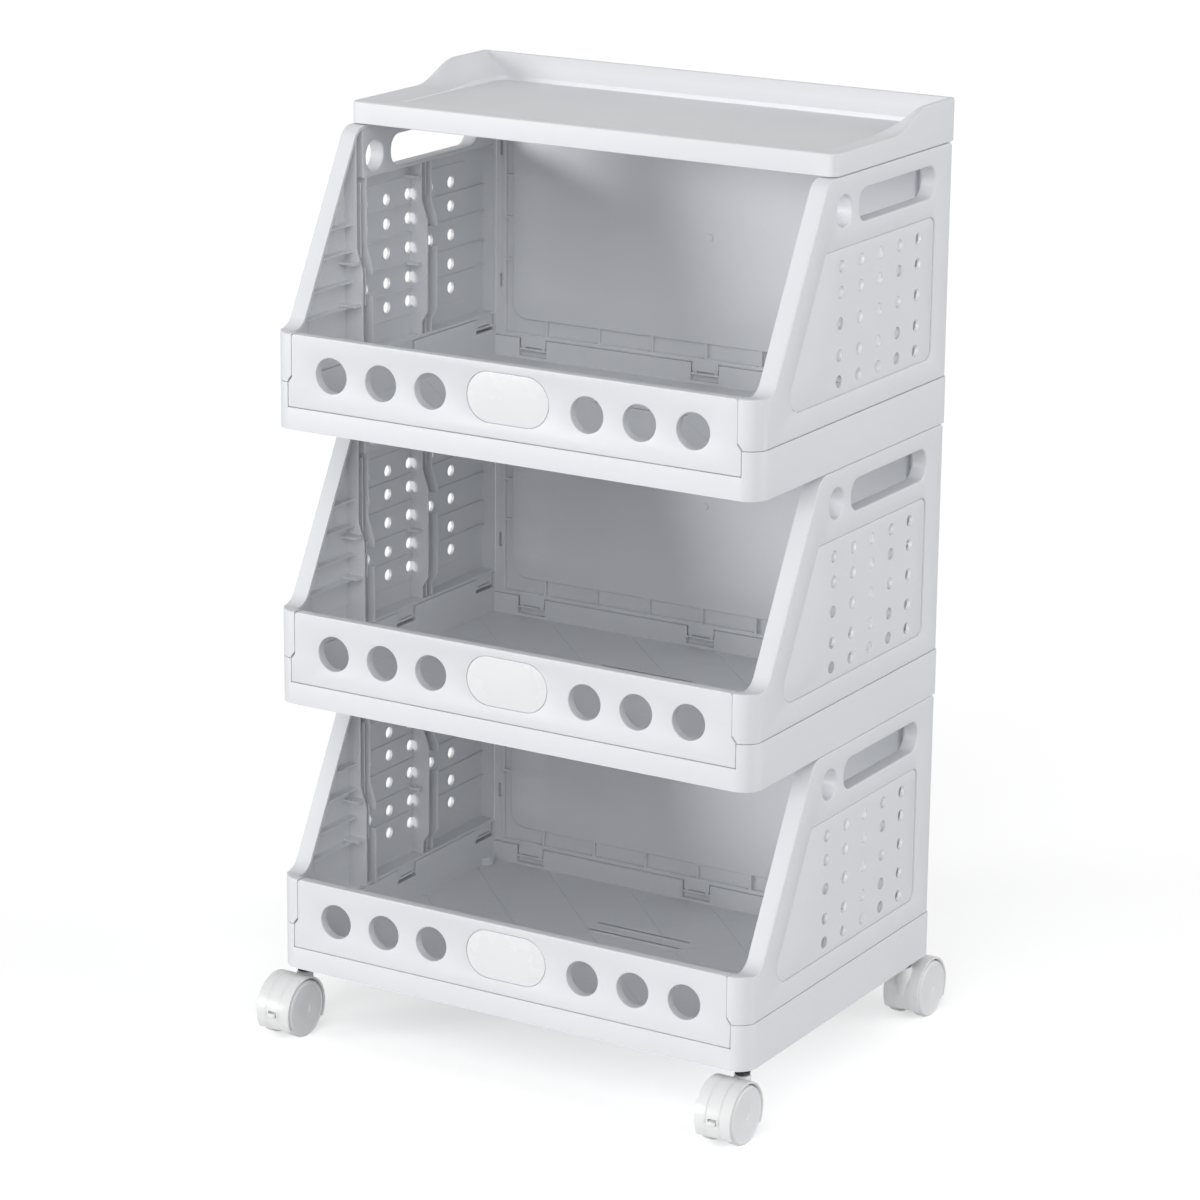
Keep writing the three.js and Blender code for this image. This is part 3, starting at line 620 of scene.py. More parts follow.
def gripBlock():
    look = sidePanel
    bottom, top = look["gripBottom"], cart["panelTop"] - look["gripGap"]
    front, rear = fromFront(look["gripFront"]), fromFront(look["rear"]) - look["gripGap"]
    corner, edge, holeEdge = look["gripRadii"]
    outline = roundedLoop([(front, bottom, corner), (rear, bottom, corner), (rear, top), (front, top)], 5)
    shell = Shell("x")
    rings = shell.wall(outline, innerHalf + 1, skinInner, edge, 0, -1, 3)
    holes = [shell.wall(loop, innerHalf + 1, skinInner, holeEdge, 0, 1, 3) for loop in gripLoops()]
    shell.cap(rings[0], [ring[0] for ring in holes])
    shell.cap(rings[-1], [ring[-1] for ring in holes])
    return shell


def ribWalls():
    look = sidePanel
    low, high, top, bottom = look["ribLow"], look["ribHigh"], look["gripBottom"] + 0.5, look["ribBottom"]
    first, second = look["pairFronts"]
    behind = look["pairSpacing"]
    underSlant = (first - look["slantStart"]) / look["slantRun"] - 4
    profiles = [
        (first, [(high, bottom), (high, 107), (low, 124), (low, underSlant)]),
        (first + behind, [(high, bottom), (high, 85.7)]),
        (first + behind, [(high, 101.8), (high, 107), (low, 124), (low, top)]),
        (second, [(low, bottom), (low, 50), (high, 58), (high, 132), (low, 147.6), (low, top)]),
        (second + behind, [(low, bottom), (low, 50), (high, 58), (high, 109.5)]),
        (second + behind, [(high, 125.8), (high, 132), (low, 147.6), (low, top)]),
    ]
    shells = []
    for front, profile in profiles:
        corners = [(skinInner - reach, height) for reach, height in profile]
        corners += [(skinInner + 0.5, profile[-1][1]), (skinInner + 0.5, profile[0][1])]
        near, far = fromFront(front), fromFront(front + look["ribThickness"])
        shells.append(plate("y", roundedLoop(corners), near, far,
                            lowRound=look["ribRound"], highRound=look["ribRound"], steps=2))
    return shells


# thin ribs inside the pairs, short ribs across the space under the slant, blocks before the pairs,
# and low stiffeners
sideSlat = {
    "inPair": (7.4, 8.8), "inPairReach": 10.0, "inNotchReach": (14.0, 12.0),
    "crossLevels": (143.0, 122.0, 98.0, 78.0), "crossHalf": 0.7, "crossReach": 8.0,
    "firstBlocks": (113.5, 80.0), "firstLength": 9.0, "firstReach": 15.5,
    "secondBlocks": (167.5, 97.5), "secondLength": 7.0, "secondReach": 12.0, "blockHalf": 1.0, "sunk": 0.4,
    "stiffenerLevels": (144.0, 122.0, 98.0, 77.0), "stiffenerStart": 16.0, "stiffenerEnd": 294.0,
    "stiffenerHalf": 0.6, "stiffenerReach": 2.2,
}


def sideSlats():
    look = sideSlat
    first, second = sidePanel["pairFronts"]
    grip, sunk = sidePanel["gripBottom"], look["sunk"]
    start, end = look["inPair"]
    rows = []

    def add(front, rear, bottom, top, reach):
        rows.append((skinInner - reach, skinInner + sunk, fromFront(front), fromFront(rear), bottom, top))

    for pair, bottom, top, reach in (
            (first, 116, grip - 2, look["inPairReach"]), (first, 78, 108, look["inNotchReach"][0]),
            (second, 150, grip + sunk, look["inPairReach"]), (second, 39.8, 52, look["inPairReach"]),
            (second, 106, 121, look["inNotchReach"][1])):
        add(pair + start, pair + end, bottom, top, reach)
    half = look["crossHalf"]
    for level in look["crossLevels"]:
        add(slantAt(level) + 2 - frontPlane, first, level - half, level + half, look["crossReach"])
    half = look["blockHalf"]
    for pair, name in ((first, "first"), (second, "second")):
        for level in look[name + "Blocks"]:
            add(pair - look[name + "Length"], pair + sunk, level - half, level + half, look[name + "Reach"])
    half = look["stiffenerHalf"]
    for level in look["stiffenerLevels"]:
        for pair, rear in ((first, second), (second, look["stiffenerEnd"])):
            add(pair + look["stiffenerStart"], rear, level - half, level + half, look["stiffenerReach"])
    return blocksAt(rows)


def sideLinings():
    length, lining = sidePanel["holeDepth"], sidePanel["holeLining"]
    middle = halfWidth - sidePanel["insetDepth"] + 0.05 - length / 2
    places = [(middle, across, level) for across, level in holePlaces()]
    return grown(*linings, places, None, {
        "middleRadius": (sidePanel["holeRadius"] + lining / 2) * mm, "wallWidth": lining * mm,
        "tubeLength": length * mm, "finish": cartLook[1]})


sideHinges = []
for centre in sidePanel["hingeCentres"]:
    sideHinges += hingeShells("y", *sidePanel["pivot"], fromFront(centre), panelBottom + 1, sideHinge)
sideMesh = meshFrom([sideSkin(), gripBlock(), *ribWalls(), sideSlats(), *sideHinges])
liningMesh = sideLinings()
print("side panels made")

# Front panel and its label plate

frontPanel = {
    "thickness": 8.0, "wall": 2.4, "sill": 17.5, "overlap": 4.0, "shoulder": 4.4, "gap": 0.6,
    "edgeRound": 0.6, "rearRound": 0.7, "topRound": 3.0, "shoulderRound": 1.5, "cornerRound": 1.1,
    "pocketRound": 2.0, "pinRound": 0.4,
    "holeRadius": 14.0, "holeLevel": 46.5, "holeEdge": 0.55,
    "holePlaces": (-158.0, -113.0, -68.5, 68.5, 113.0, 158.0), "collar": 2.0, "collarEdge": 0.6,
    "label": (71.0, 38.5), "labelLevel": 49.0, "labelThickness": 1.0, "labelRecess": 0.1, "labelGap": 0.55,
    "labelRound": 0.35, "pivot": (5.5, 20.0, 2.2), "pinEnds": (-2.0, 2.4),
}


def frontPanelShells():
    look = frontPanel
    low, high, corner = innerHalf - look["gap"], innerHalf - look["overlap"], look["cornerRound"]
    bottom, top, neck = look["sill"] + look["gap"], cart["flapTop"], cart["rimTop"] - 0.3
    shoulder = cart["rimTop"] + look["shoulder"]
    outline = evenLoop([(low, bottom, corner), (low, neck, corner),
                        (high, shoulder, look["shoulderRound"]), (high, top, look["topRound"])], 5)
    rear, skin = fromFront(look["thickness"]), fromFront(look["wall"])
    shell = Shell("y")
    rings = shell.wall(outline, frontPlane, rear, look["edgeRound"], look["rearRound"], -1, 5)
    inner = high - look["wall"]
    pocket = rectangleLoop(-inner, inner, bottom + look["wall"], top - look["wall"], look["pocketRound"], 4)
    rim, back = shell.ring(pocket, rear), shell.ring(pocket, skin)
    shell.cap(rings[-1], [rim])
    shell.strip([rim, back])
    shells, holes = [shell], []
    for place in look["holePlaces"]:
        loop = circleLoop(place, look["holeLevel"], look["holeRadius"])
        holes.append(shell.wall(loop, frontPlane, skin, look["holeEdge"], 0, 1, 3))
        shells.append(plate("y", offsetLoop(loop, look["collar"]), skin, rear,
                            highRound=look["collarEdge"], holes=[loop], steps=3))
    recess = stadiumLoop(0, look["labelLevel"], *[size + 2 * look["labelGap"] for size in look["label"]])
    floor = frontPlane + look["labelRecess"] + look["labelThickness"] + 0.3
    made = shell.wall(recess, frontPlane, floor, 0.25, 0, 1, 2)
    shell.cap(made[-1])
    shell.cap(rings[0], [*[hole[0] for hole in holes], made[0]])
    shell.cap(back, [hole[-1] for hole in holes])
    across, up, radius = look["pivot"]
    pin = circleLoop(fromFront(across), up, radius, 20)
    for side in (-1, 1):
        ends = [side * (innerHalf + end) for end in look["pinEnds"]]
        shells.append(plate("x", pin, *ends, lowRound=look["pinRound"], highRound=look["pinRound"]))
    return shells


def labelShell():
    look = frontPanel
    front = frontPlane + look["labelRecess"]
    outline = stadiumLoop(0, look["labelLevel"], *look["label"])
    return plate("y", outline, front, front + look["labelThickness"], lowRound=look["labelRound"])


frontMesh = meshFrom(frontPanelShells())
labelMesh = meshFrom([labelShell()])
print("front panels made")

# Base frames

baseFrame = {
    "floor": 3.0, "floorMargin": 0.6, "floorBottom": 0.15, "sill": 17.5, "rearTop": 19.7, "rearDepth": 5.4,
    "frontWall": 2.5, "postDepth": 8.1, "postRound": 1.4, "postGap": 1.2, "seam": 0.7, "drain": (86.0, 3.5),
    "drainRim": 1.4, "drainRise": 0.6, "drainPlaces": (107.0, 91.0), "windowFloor": 24.5, "windowSkin": 2.5,
    "backWindows": (-162.0, 0.0, 162.0), "backWindowHalf": 13.0, "backWindowFloor": 5.0,
    "backWindowSkin": 1.2, "bossRadius": 8.0, "bossTop": 9.0,
}


# how far forward the plan's rounded front corner comes at a place across
def cornerFront(across):
    radius = cart["frontRadius"]
    return fromFront(radius - math.sqrt(radius ** 2 - (across - halfWidth + radius) ** 2))


def mirrored(points, side):
    return [Vector((side * point.x, point.y)) for point in points]


def rimShells(side):
    look = baseFrame
    outer = [point for point in planLoop() if point.x > innerHalf + 1]
    outline = [Vector((innerHalf, cornerFront(innerHalf))), *outer, Vector((innerHalf, rearPlane))]
    top = cart["rimTop"] - look["seam"] / 2
    shell = plate("z", mirrored(outline, side), 0, top, highRound=0.35, steps=3)
    windows = Shell("y")
    left, right = sorted((side * (innerHalf - 1), side * (halfWidth - look["windowSkin"])))
    opening = rectangleLoop(left, right, look["windowFloor"], cart["rimTop"] + 1)
    for centre in sidePanel["hingeCentres"]:
        middle, reach = fromFront(centre), sidePanel["hingeLength"] / 2
        windows.plate(opening, middle - reach, middle + reach)
    return carved(shell, windows, "DIFFERENCE")


def postShell(side):
    look = baseFrame
    inner, gap = innerHalf - frontPanel["overlap"] + 0.3, look["postGap"]
    bottom, top, outer = cart["rimTop"] + look["seam"] / 2, cart["flapTop"] + 1, halfWidth + 1
    outline = roundedLoop([(outer, bottom), (innerHalf, bottom), (innerHalf, bottom + gap),
                           (inner, bottom + frontPanel["shoulder"] + gap), (inner, top), (outer, top)], 4)
    slab = plate("y", mirrored(outline, side), frontPlane - 1, fromFront(look["postDepth"]))
    bound = plate("z", planLoop(), 0, cart["flapTop"], highRound=look["postRound"])
    return carved(slab, bound, "INTERSECT")


def baseShells(withBosses):
    look = baseFrame
    shells = [rimShells(-1), rimShells(1), postShell(-1), postShell(1)]
    reach = innerHalf + 0.02
    near, inner = cornerFront(reach), fromFront(look["frontWall"])
    straight = halfWidth - cart["frontRadius"]
    wallLoop = [(-reach, near), (-straight, frontPlane), (straight, frontPlane), (reach, near),
                (reach, inner), (-reach, inner)]
    shells.append(plate("z", roundedLoop(wallLoop), 0, look["sill"], highRound=0.7, steps=3))
    rear, top = rearPlane - look["rearDepth"], look["rearTop"]
    rearLoop = roundedLoop([(rear, 0), (rearPlane, 0), (rearPlane, top, 0.8), (rear, top, 0.8)], 4)
    windows = Shell("x")
    skin = rearPlane - look["backWindowSkin"]
    opening = rectangleLoop(rear - 1, skin, look["backWindowFloor"], top + 1)
    for centre in look["backWindows"]:
        windows.plate(opening, centre - look["backWindowHalf"], centre + look["backWindowHalf"])
    shells.append(carved(plate("x", rearLoop, -reach, reach), windows, "DIFFERENCE"))
    if withBosses:
        for place in casterPlaces.values():
            boss = circleLoop(*place, look["bossRadius"], 40)
            shells.append(plate("z", boss, 1, look["bossTop"], highRound=1))
    return shells


def floorShells():
    look = baseFrame
    top = look["floor"]
    slots = [stadiumLoop(0, rearPlane - place, *look["drain"], 5) for place in look["drainPlaces"]]
    shells = [plate("z", planLoop(look["floorMargin"], 10), look["floorBottom"], top, holes=slots)]
    for slot in slots:
        rim = offsetLoop(slot, look["drainRim"])
        shells.append(plate("z", rim, top - 0.5, top + look["drainRise"],
                            highRound=0.25, holes=[slot], steps=2))
    return shells


casterPlaces = {}
for end, y in (("front", -133.0), ("rear", 133.0)):
    for side, x in (("left", -200.0), ("right", 200.0)):
        casterPlaces[f"{end}_{side}"] = (x, y)
lowBaseMesh, baseMesh = meshFrom(baseShells(True)), meshFrom(baseShells(False))
floorMesh = meshFrom(floorShells())
print("base frames made")

# Back panel

backPanel = {
    "thickness": 4.4, "plate": 2.2, "border": 8.0, "edgeRound": 0.7, "seam": 0.7,
    "trough": 9.5, "troughFloor": 1.0, "troughRound": 1.4, "troughCorner": 2.0, "troughRise": 1.6,
    "fieldBottom": 37.0, "fieldRadius": 12.0, "recessMargins": (8.0, 10.0, 12.0), "recessRadius": 10.0,
    "latchSlot": (2.8, 12.0), "latchInset": 5.0, "latchWeb": 0.8, "latchLevels": (65.6, 175.0),
    "latchRound": 0.8, "pivot": (3.4, 10.5),
    "ribLevels": (153.0, 118.5, 84.0), "ribHalf": 0.9, "ribSunk": 0.3,
    "footRibs": (-150.0, -100.0, -50.0, 0.0, 50.0, 100.0, 150.0), "footRibHalf": 1.1, "footRibSunk": 0.15,
    "gateMark": (2.0, 122.0, 3.2, 0.9),
}
backHinge = {
    "bar": 1.2, "barReach": 16.4, "tabDepth": 1.4, "tabReach": 12.0, "tabGap": 2.4, "endPlace": 9.5,
}
backBottom = baseFrame["rearTop"] + backPanel["seam"]
backInner = rearPlane - backPanel["thickness"]
backHalf = innerHalf - 0.05
troughHalf = backHalf - backPanel["border"]
fieldHalf = troughHalf - backPanel["trough"]
troughBottom = backBottom + backPanel["troughRise"]
troughFloor = rearPlane - backPanel["troughFloor"]


# open at the top, so that it runs down one side of the field, under it and up the other
def troughRings(shell):
    look = backPanel
    top, corner, radius = cart["panelTop"] - look["border"], look["troughCorner"], look["troughRound"]
    trough = evenLoop([(troughHalf, troughBottom, corner), (troughHalf, top, corner),
                       (fieldHalf, top, corner), (fieldHalf, look["fieldBottom"], look["fieldRadius"])], 6)
    angles = [quarterTurn * step / 5 for step in range(6)]
    edge = [(radius * math.sin(angle), radius * (1 - math.cos(angle))) for angle in angles]
    edge.append((radius + 0.05, troughFloor - backInner))
    return shell.inward(trough, backInner, 1, edge)


def recessRings(shell):
    look = backPanel
    side, low, high = look["recessMargins"]
    half, top = fieldHalf - side, cart["panelTop"] - look["border"] - high
    recess = rectangleLoop(-half, half, look["fieldBottom"] + low, top, look["recessRadius"])
    return shell.inward(recess, rearPlane, -1, ((0, 0), (0.3, 0.4), (0.8, 1.8), (1.2, look["plate"])))


def latchRings(shell):
    look = backPanel
    halfWide, halfHigh = (size / 2 for size in look["latchSlot"])
    found = []
    for middle in (look["latchInset"] - backHalf, backHalf - look["latchInset"]):
        left, right = middle - halfWide, middle + halfWide
        for level in look["latchLevels"]:
            slot = rectangleLoop(left, right, level - halfHigh, level + halfHigh, look["latchRound"], 3)
            rings = shell.wall(slot, backInner, rearPlane - look["latchWeb"], 0.2, 0, 1, 2)
            shell.cap(rings[-1])
            found.append(rings[0])
    return found


def backPlate():
    shell = Shell("y")
    outline = rectangleLoop(-backHalf, backHalf, backBottom, cart["panelTop"])
    rings = shell.wall(outline, backInner, rearPlane, 0, backPanel["edgeRound"], -1, 3)
    trough, recess = troughRings(shell), recessRings(shell)
    shell.strip(trough)
    shell.strip(recess)
    shell.cap(rings[0], [trough[0], *latchRings(shell)])
    shell.cap(trough[-1])
    shell.cap(rings[-1], [recess[0]])
    shell.cap(recess[-1])
    return shell


def backRibs():
    look = backPanel
    half, near, rear = look["ribHalf"], backInner + look["ribSunk"], troughFloor + look["ribSunk"]
    rows = []
    for left, right in ((-troughHalf, -fieldHalf), (fieldHalf, troughHalf)):
        for level in look["ribLevels"]:
            rows.append((left - 0.2, right + 0.2, near, rear, level - half, level + half))
    half, near = look["footRibHalf"], backInner + look["footRibSunk"]
    low, high = troughBottom - 0.2, look["fieldBottom"] + 0.2
    for place in look["footRibs"]:
        rows.append((place - half, place + half, near, rear, low, high))
    return blocksAt(rows)


def backShells():
    across, level, radius, proud = backPanel["gateMark"]
    outline = circleLoop(across, level, radius, 32)
    mark = plate("y", outline, backInner - proud, backInner + 0.5, lowRound=0.8)
    shells = [backPlate(), backRibs(), mark]
    behind, up = backPanel["pivot"]
    for centre in baseFrame["backWindows"]:
        shells += hingeShells("x", rearPlane - behind, up, centre, troughBottom, backHinge)
    return shells


backMesh = meshFrom(backShells())
print("back panels made")

# Top tray

topTray = {
    "front": 107.0, "lowRim": 17.0, "highRim": 33.0, "riseStart": 200.0, "riseEnd": 252.0,
    "floor": 13.0, "wall": 2.6, "plate": 3.2, "rim": 3.2, "rimRadius": 2.4, "cornerRadius": 7.0,
    "edgeRound": 1.5, "footRound": 0.5, "margins": (25.0, 30.0, 15.0), "floorRadius": 10.0,
    "samples": 17, "sampleStep": 4.0, "sampleLead": 6.0,
    "dish": ((0.04, 0.01), (0.12, 0.05), (0.5, 0.42), (0.9, 0.78), (0.98, 0.83), (1.0, 1.0)),
}


# margins are the side's, the front's and the rear's; the long sides have extra points where the rim rises
def trayLoop(side, front, rear, nearRadius, farRadius, steps=8):
    half, near, far = halfWidth - side, fromFront(topTray["front"]) + front, rearPlane - rear
    corners = evenLoop([(half, near, nearRadius), (half, far, farRadius)], steps)
    start, step = topTray["riseStart"] - topTray["sampleLead"], topTray["sampleStep"]
    samples = [fromFront(start + step * index) for index in range(topTray["samples"])]
    right = [Vector((half, place)) for place in samples]
    left = [Vector((-half, place)) for place in reversed(samples)]
    bothNear = 2 * (steps + 1)
    return corners[:bothNear] + right + corners[bothNear:] + left


def trayTop(y):
    look = topTray
    share = (y - fromFront(look["riseStart"])) / (look["riseEnd"] - look["riseStart"])
    share = min(max(share, 0), 1)
    return look["lowRim"] + (look["highRim"] - look["lowRim"]) * share * share * (3 - 2 * share)


def trayShell():
    look = topTray
    shell = Shell("z")

    def ring(margins, level):
        return shell.ringAt([(point.x, point.y, level(point.y)) for point in trayLoop(*margins)])

    def evenly(margin, nearRadius, farRadius):
        return (margin, margin, margin, nearRadius, farRadius)

    corner, farCorner = look["cornerRadius"], cart["rearRadius"]
    wall, edge, foot = look["wall"], look["edgeRound"], look["footRound"]
    under = evenly(wall, corner - wall, 2)
    flat = [(under, look["floor"] - look["plate"]), (under, foot),
            (evenly(wall - foot, corner - wall + foot, 2.2), 0), (evenly(foot, corner - foot, 4), 0),
            (evenly(0, corner, farCorner), foot)]
    rings = [ring(margins, lambda y, level=level: level) for margins, level in flat]
    for step in range(6):
        angle = quarterTurn * step / 5
        inset, drop = edge * (1 - math.cos(angle)), edge * (1 - math.sin(angle))
        margins = evenly(inset, corner - inset, farCorner - inset)
        rings.append(ring(margins, lambda y, drop=drop: trayTop(y) - drop))
    outer = evenly(look["rim"], corner - look["rim"], look["rimRadius"])
    rings.append(ring(outer, trayTop))
    inner = (*look["margins"], look["floorRadius"], look["floorRadius"])
    for share, bend in look["dish"]:
        margins = tuple(low + (high - low) * share for low, high in zip(outer, inner))
        rings.append(ring(margins, lambda y, bend=bend: trayTop(y) + (look["floor"] - trayTop(y)) * bend))
    return shell.closed(rings)


trayMesh = meshFrom([trayShell()])
print("top tray made")

# Casters, drawn with the swivel axis at the origin and the wheels trailing to the front

caster = {
    "wheelRadius": 23.0, "wheelWidth": 10.0, "wheelInner": 6.0, "axleDrop": 31.0, "trail": 20.0,
    "hoodRadius": 26.0, "hoodInner": 24.3, "hoodHalf": 15.4, "hoodRound": 0.8, "pocket": (3.8, 4.5, 3.6),
    "pocketDrop": 1.6, "web": 5.6, "floorGap": 10.0, "bossRadius": 6.6, "hoodTop": 7.7,
    "stemRadius": 4.0, "stemTop": 5.7, "collar": (6.0, 7.3, 4.4), "collarRound": 0.4,
    "lever": (3.2, 3.4, 1.6, 6.0), "leverIn": 1.7, "leverRise": 0.6, "leverRound": 1.2,
}
axle = (-caster["trail"], -caster["axleDrop"])


# the tread, a raised tyre edge, the hub's shallow dish and its middle button
def wheelShell(side):
    radius, width = caster["wheelRadius"], caster["wheelWidth"]
    profile = [
        (0, 0), (radius - 3, 0), (radius - 1.2, 0.3), (radius - 0.35, 1.1), (radius, 2.4),
        (radius, width - 2.6), (radius - 0.3, width - 1.3), (radius - 1.1, width - 0.4),
        (radius - 2.2, width), (radius - 2.7, width - 0.1), (radius - 3.1, width - 0.55),
        (radius - 3.6, width - 0.6), (4.2, width - 0.25), (3.6, width - 0.4), (3.2, width - 0.9),
        (0, width - 0.9)]
    inner = caster["wheelInner"]
    return lathe([(reach, side * (inner + depth)) for reach, depth in profile], "x", axle, 64)


# a circle round the axle, cut off level above the floor
def cutCircle(radius):
    bottom = axle[1] - caster["wheelRadius"] + caster["floorGap"]
    points = [point for point in circleLoop(*axle, radius, 72) if point.y > bottom]
    points.sort(key=lambda point: math.atan2(point.x - axle[0], point.y - axle[1]))
    reach = math.sqrt(radius * radius - (bottom - axle[1]) ** 2)
    return [Vector((axle[0] - reach, bottom)), *points, Vector((axle[0] + reach, bottom))]


def hoodShells():
    look = caster
    half, height, depth = look["pocket"]
    near, low = axle[0] - look["hoodRadius"], axle[1] - look["pocketDrop"]
    web = plate("x", cutCircle(look["hoodRadius"]), -look["web"] - 0.4, look["web"] + 0.4)
    pocket = plate("x", rectangleLoop(near - 2, near + depth, low, low + height), -half, half)
    fender = cutCircle(look["hoodRadius"]) + list(reversed(cutCircle(look["hoodInner"])))
    rounding = look["hoodRound"]
    top, radius = -look["hoodTop"], look["bossRadius"]
    boss = [(0, axle[1]), (radius, axle[1]), (radius, top - 1.6), (radius - 0.5, top - 0.5),
            (radius - 1.6, top), (0, top)]
    return [carved(web, pocket, "DIFFERENCE"),
            plate("x", fender, -look["hoodHalf"], -look["web"], lowRound=rounding, steps=3),
            plate("x", fender, look["web"], look["hoodHalf"], highRound=rounding, steps=3),
            lathe(boss, "z", (0, 0))]


def stemShell():
    look = caster
    radius, low, high = look["collar"]
    stem, top, rounding = look["stemRadius"], look["stemTop"], look["collarRound"]
    foot, edge = -look["hoodTop"] - 1, radius - rounding
    profile = [(0, foot), (stem, foot), (stem, -low), (edge, -low), (radius, rounding - low),
               (radius, -high - rounding), (edge, -high), (stem, -high), (stem, top), (0, top)]
    return lathe(profile, "z", (0, 0), 40)


def leverShell():
    look = caster
    half, thickness, out, pivotIn = look["lever"]
    tip = axle[0] - look["hoodRadius"] - out
    root = tip + out + pivotIn + look["leverIn"]
    drop, radius = look["leverRise"], look["leverRound"]
    low, high = axle[1] - thickness / 2, axle[1] + thickness / 2
    outline = roundedLoop([(tip, low - drop, radius), (root, low, radius),
                           (root, high, radius), (tip, high - drop, radius)], 4)
    return plate("x", outline, -half, half, lowRound=0.5, highRound=0.5, steps=3)


wheelMeshes = {"a": meshFrom([wheelShell(-1)]), "b": meshFrom([wheelShell(1)])}
hoodMesh = meshFrom(hoodShells())
stemMesh = meshFrom([stemShell()])
leverMesh = meshFrom([leverShell()])
print("casters made")

# Every piece in its place

mirrorX = Matrix.Diagonal((-1, 1, 1, 1))
for index, tier in enumerate(cart["tiers"]):
    shift = (0, 0, cart["baseHeight"] + index * cart["pitch"])
    crate, front, back = f"{tier}_crate", f"{tier}_front", f"{tier}_back"
    baseShell = lowBaseMesh if index == 0 else baseMesh
    addPiece(f"{tier}_base_shell", baseShell, crate, cartLook, [f"{tier}_base_frame"], shift)
    addPiece(f"{tier}_base_floor", floorMesh, crate, floorLook, (), shift)
    addPiece(f"{front}_shell", frontMesh, front, cartLook, [f"{front}_panel"], shift)
    addPiece(f"{tier}_label", labelMesh, front, labelLook, [f"{tier}_label_plate"], shift)
    addPiece(f"{back}_shell", backMesh, back, cartLook, [f"{back}_panel"], shift)
    for side, turn in (("right", None), ("left", mirrorX)):
        body = f"{tier}_{side}"
        addPiece(f"{body}_side_shell", sideMesh, body, cartLook, [f"{body}_side_panel"], shift, turn)
        addPiece(f"{body}_hole_linings", liningMesh, body, cartLook, (), shift, turn)

topShift = (0, 0, cart["baseHeight"] + len(cart["tiers"]) * cart["pitch"])
addPiece("top_tray_shell", trayMesh, "tray", cartLook, ["top_tray"], topShift)

for name, (x, y) in casterPlaces.items():
    turn = Matrix.Rotation(math.pi, 4, "Z") if name.startswith("rear") else None
    shift = (x, y, cart["baseHeight"])
    addPiece(f"{name}_hood_shell", hoodMesh, f"{name}_swivel", casterLook, [f"{name}_hood"], shift, turn)
    # the stems, and the axles below, take the steel finish with its painted dark reflection bands
    addPiece(f"{name}_stem_round", stemMesh, "lower_crate", steelLook, [f"{name}_stem"], shift, turn)
    addPiece(f"{name}_lever", leverMesh, f"{name}_brake", casterLook, [f"{name}_brake_lever"], shift, turn)
    for letter, mesh in wheelMeshes.items():
        wheel = f"{name}_wheel_round_{letter}"
        addPiece(wheel, mesh, f"{name}_wheels", wheelLook, [f"{name}_wheel_{letter}"], shift, turn)
    for part, look in (("socket_sleeve", wheelLook), ("axle", steelLook)):
        for slot in nodes[f"{name}_{part}"].material_slots:
            slot.material = look[1]
print("pieces placed")

# Floor, light and camera

studio = {
    "floorSize": 30.0, "floorLift": 0.45, "floorShade": (0.8, 0.8, 0.8, 1), "floorRoughness": 0.9,
    "worldStrength": 0.28,
}
lamps = {
    "keyLight": {"strength": 1.6, "from": (-0.9, -1.0, 0.16), "softness": 18.0},
    "fillLight": {"strength": 1.65, "from": (1.0, 0.3, 0.08), "softness": 60.0},
    "highLight": {"strength": 1.0, "from": (0.45, -1.0, 0.68), "softness": 60.0},
}
view = {
    "azimuth": 30.981, "elevation": 16.139, "roll": 0.559, "place": (1.5980, -2.6760, 1.2547),
    "lens": 124.74, "sensorWidth": 36.0, "farthest": 100.0,
}
white = (1, 1, 1, 1)


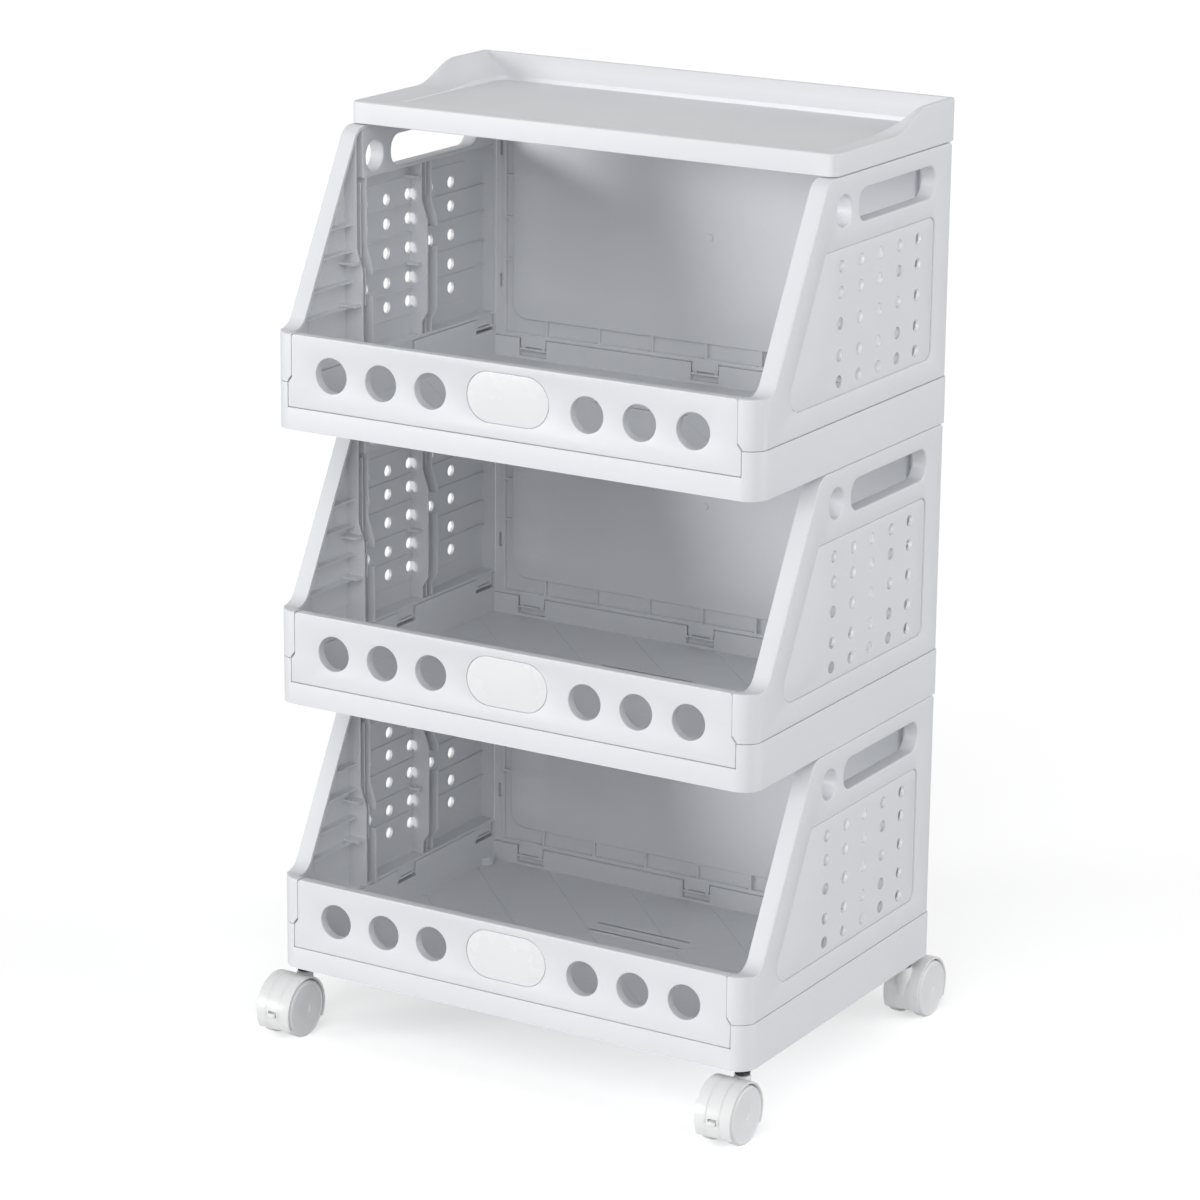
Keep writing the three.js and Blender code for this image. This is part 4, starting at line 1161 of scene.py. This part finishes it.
# pale grey to the object and white to the camera
def buildStage():
    bpy.ops.mesh.primitive_plane_add(size=studio["floorSize"])
    floor = bpy.context.object
    floor.name = "studioFloor"
    material, tree, shader = newMaterial("studioFloor")
    seen = addNode(tree, "ShaderNodeLightPath").outputs["Is Camera Ray"]
    tint = addNode(tree, "ShaderNodeMix", {0: seen, 6: studio["floorShade"], 7: white}, data_type="RGBA")
    lift = calculated(tree, "MULTIPLY", seen, studio["floorLift"])
    setInputs(tree, shader, {
        "Roughness": studio["floorRoughness"], "Specular IOR Level": 0, "Base Color": tint.outputs[2],
        "Emission Strength": lift, "Emission Color": white})
    floor.data.materials.append(material)


# faint as a light, and white where the camera or a reflection sees it
def buildWorld():
    world = bpy.data.worlds.new("studioWorld")
    bpy.context.scene.world = world
    world.use_nodes = True
    tree = world.node_tree
    tree.nodes.clear()
    path = addNode(tree, "ShaderNodeLightPath")
    seen = path.outputs["Is Camera Ray"]
    for ray in ("Is Glossy Ray", "Is Transmission Ray"):
        seen = calculated(tree, "MAXIMUM", seen, path.outputs[ray])
    light = addNode(tree, "ShaderNodeBackground", {"Color": white, "Strength": studio["worldStrength"]})
    backdrop = addNode(tree, "ShaderNodeBackground", {"Color": white, "Strength": 1})
    mix = addNode(tree, "ShaderNodeMixShader", {0: seen, 1: light, 2: backdrop})
    addNode(tree, "ShaderNodeOutputWorld", {0: mix})


def addSun(name, look):
    data = bpy.data.lights.new(name, "SUN")
    data.energy = look["strength"]
    data.angle = math.radians(look["softness"])
    newObject(name, data).rotation_euler = Vector(look["from"]).to_track_quat("Z", "Y").to_euler()


def addCamera():
    azimuth, elevation, roll = (math.radians(view[key]) for key in ("azimuth", "elevation", "roll"))
    level = math.cos(elevation)
    back = Vector((math.sin(azimuth) * level, -math.cos(azimuth) * level, math.sin(elevation)))
    right = Vector((0, 0, 1)).cross(back).normalized()
    up = back.cross(right)
    across = right * math.cos(roll) + up * math.sin(roll)
    upward = -right * math.sin(roll) + up * math.cos(roll)
    data = bpy.data.cameras.new("photoCamera")
    data.sensor_width = view["sensorWidth"]
    data.sensor_fit = "HORIZONTAL"
    data.lens = view["lens"]
    data.clip_end = view["farthest"]
    camera = newObject("photoCamera", data)
    turned = Matrix((across, upward, back)).transposed().to_4x4()
    camera.matrix_world = Matrix.Translation(view["place"]) @ turned
    bpy.context.scene.camera = camera


buildStage()
buildWorld()
for name, look in lamps.items():
    addSun(name, look)
addCamera()
bpy.context.scene.view_settings.view_transform = "Standard"
print("studio made")
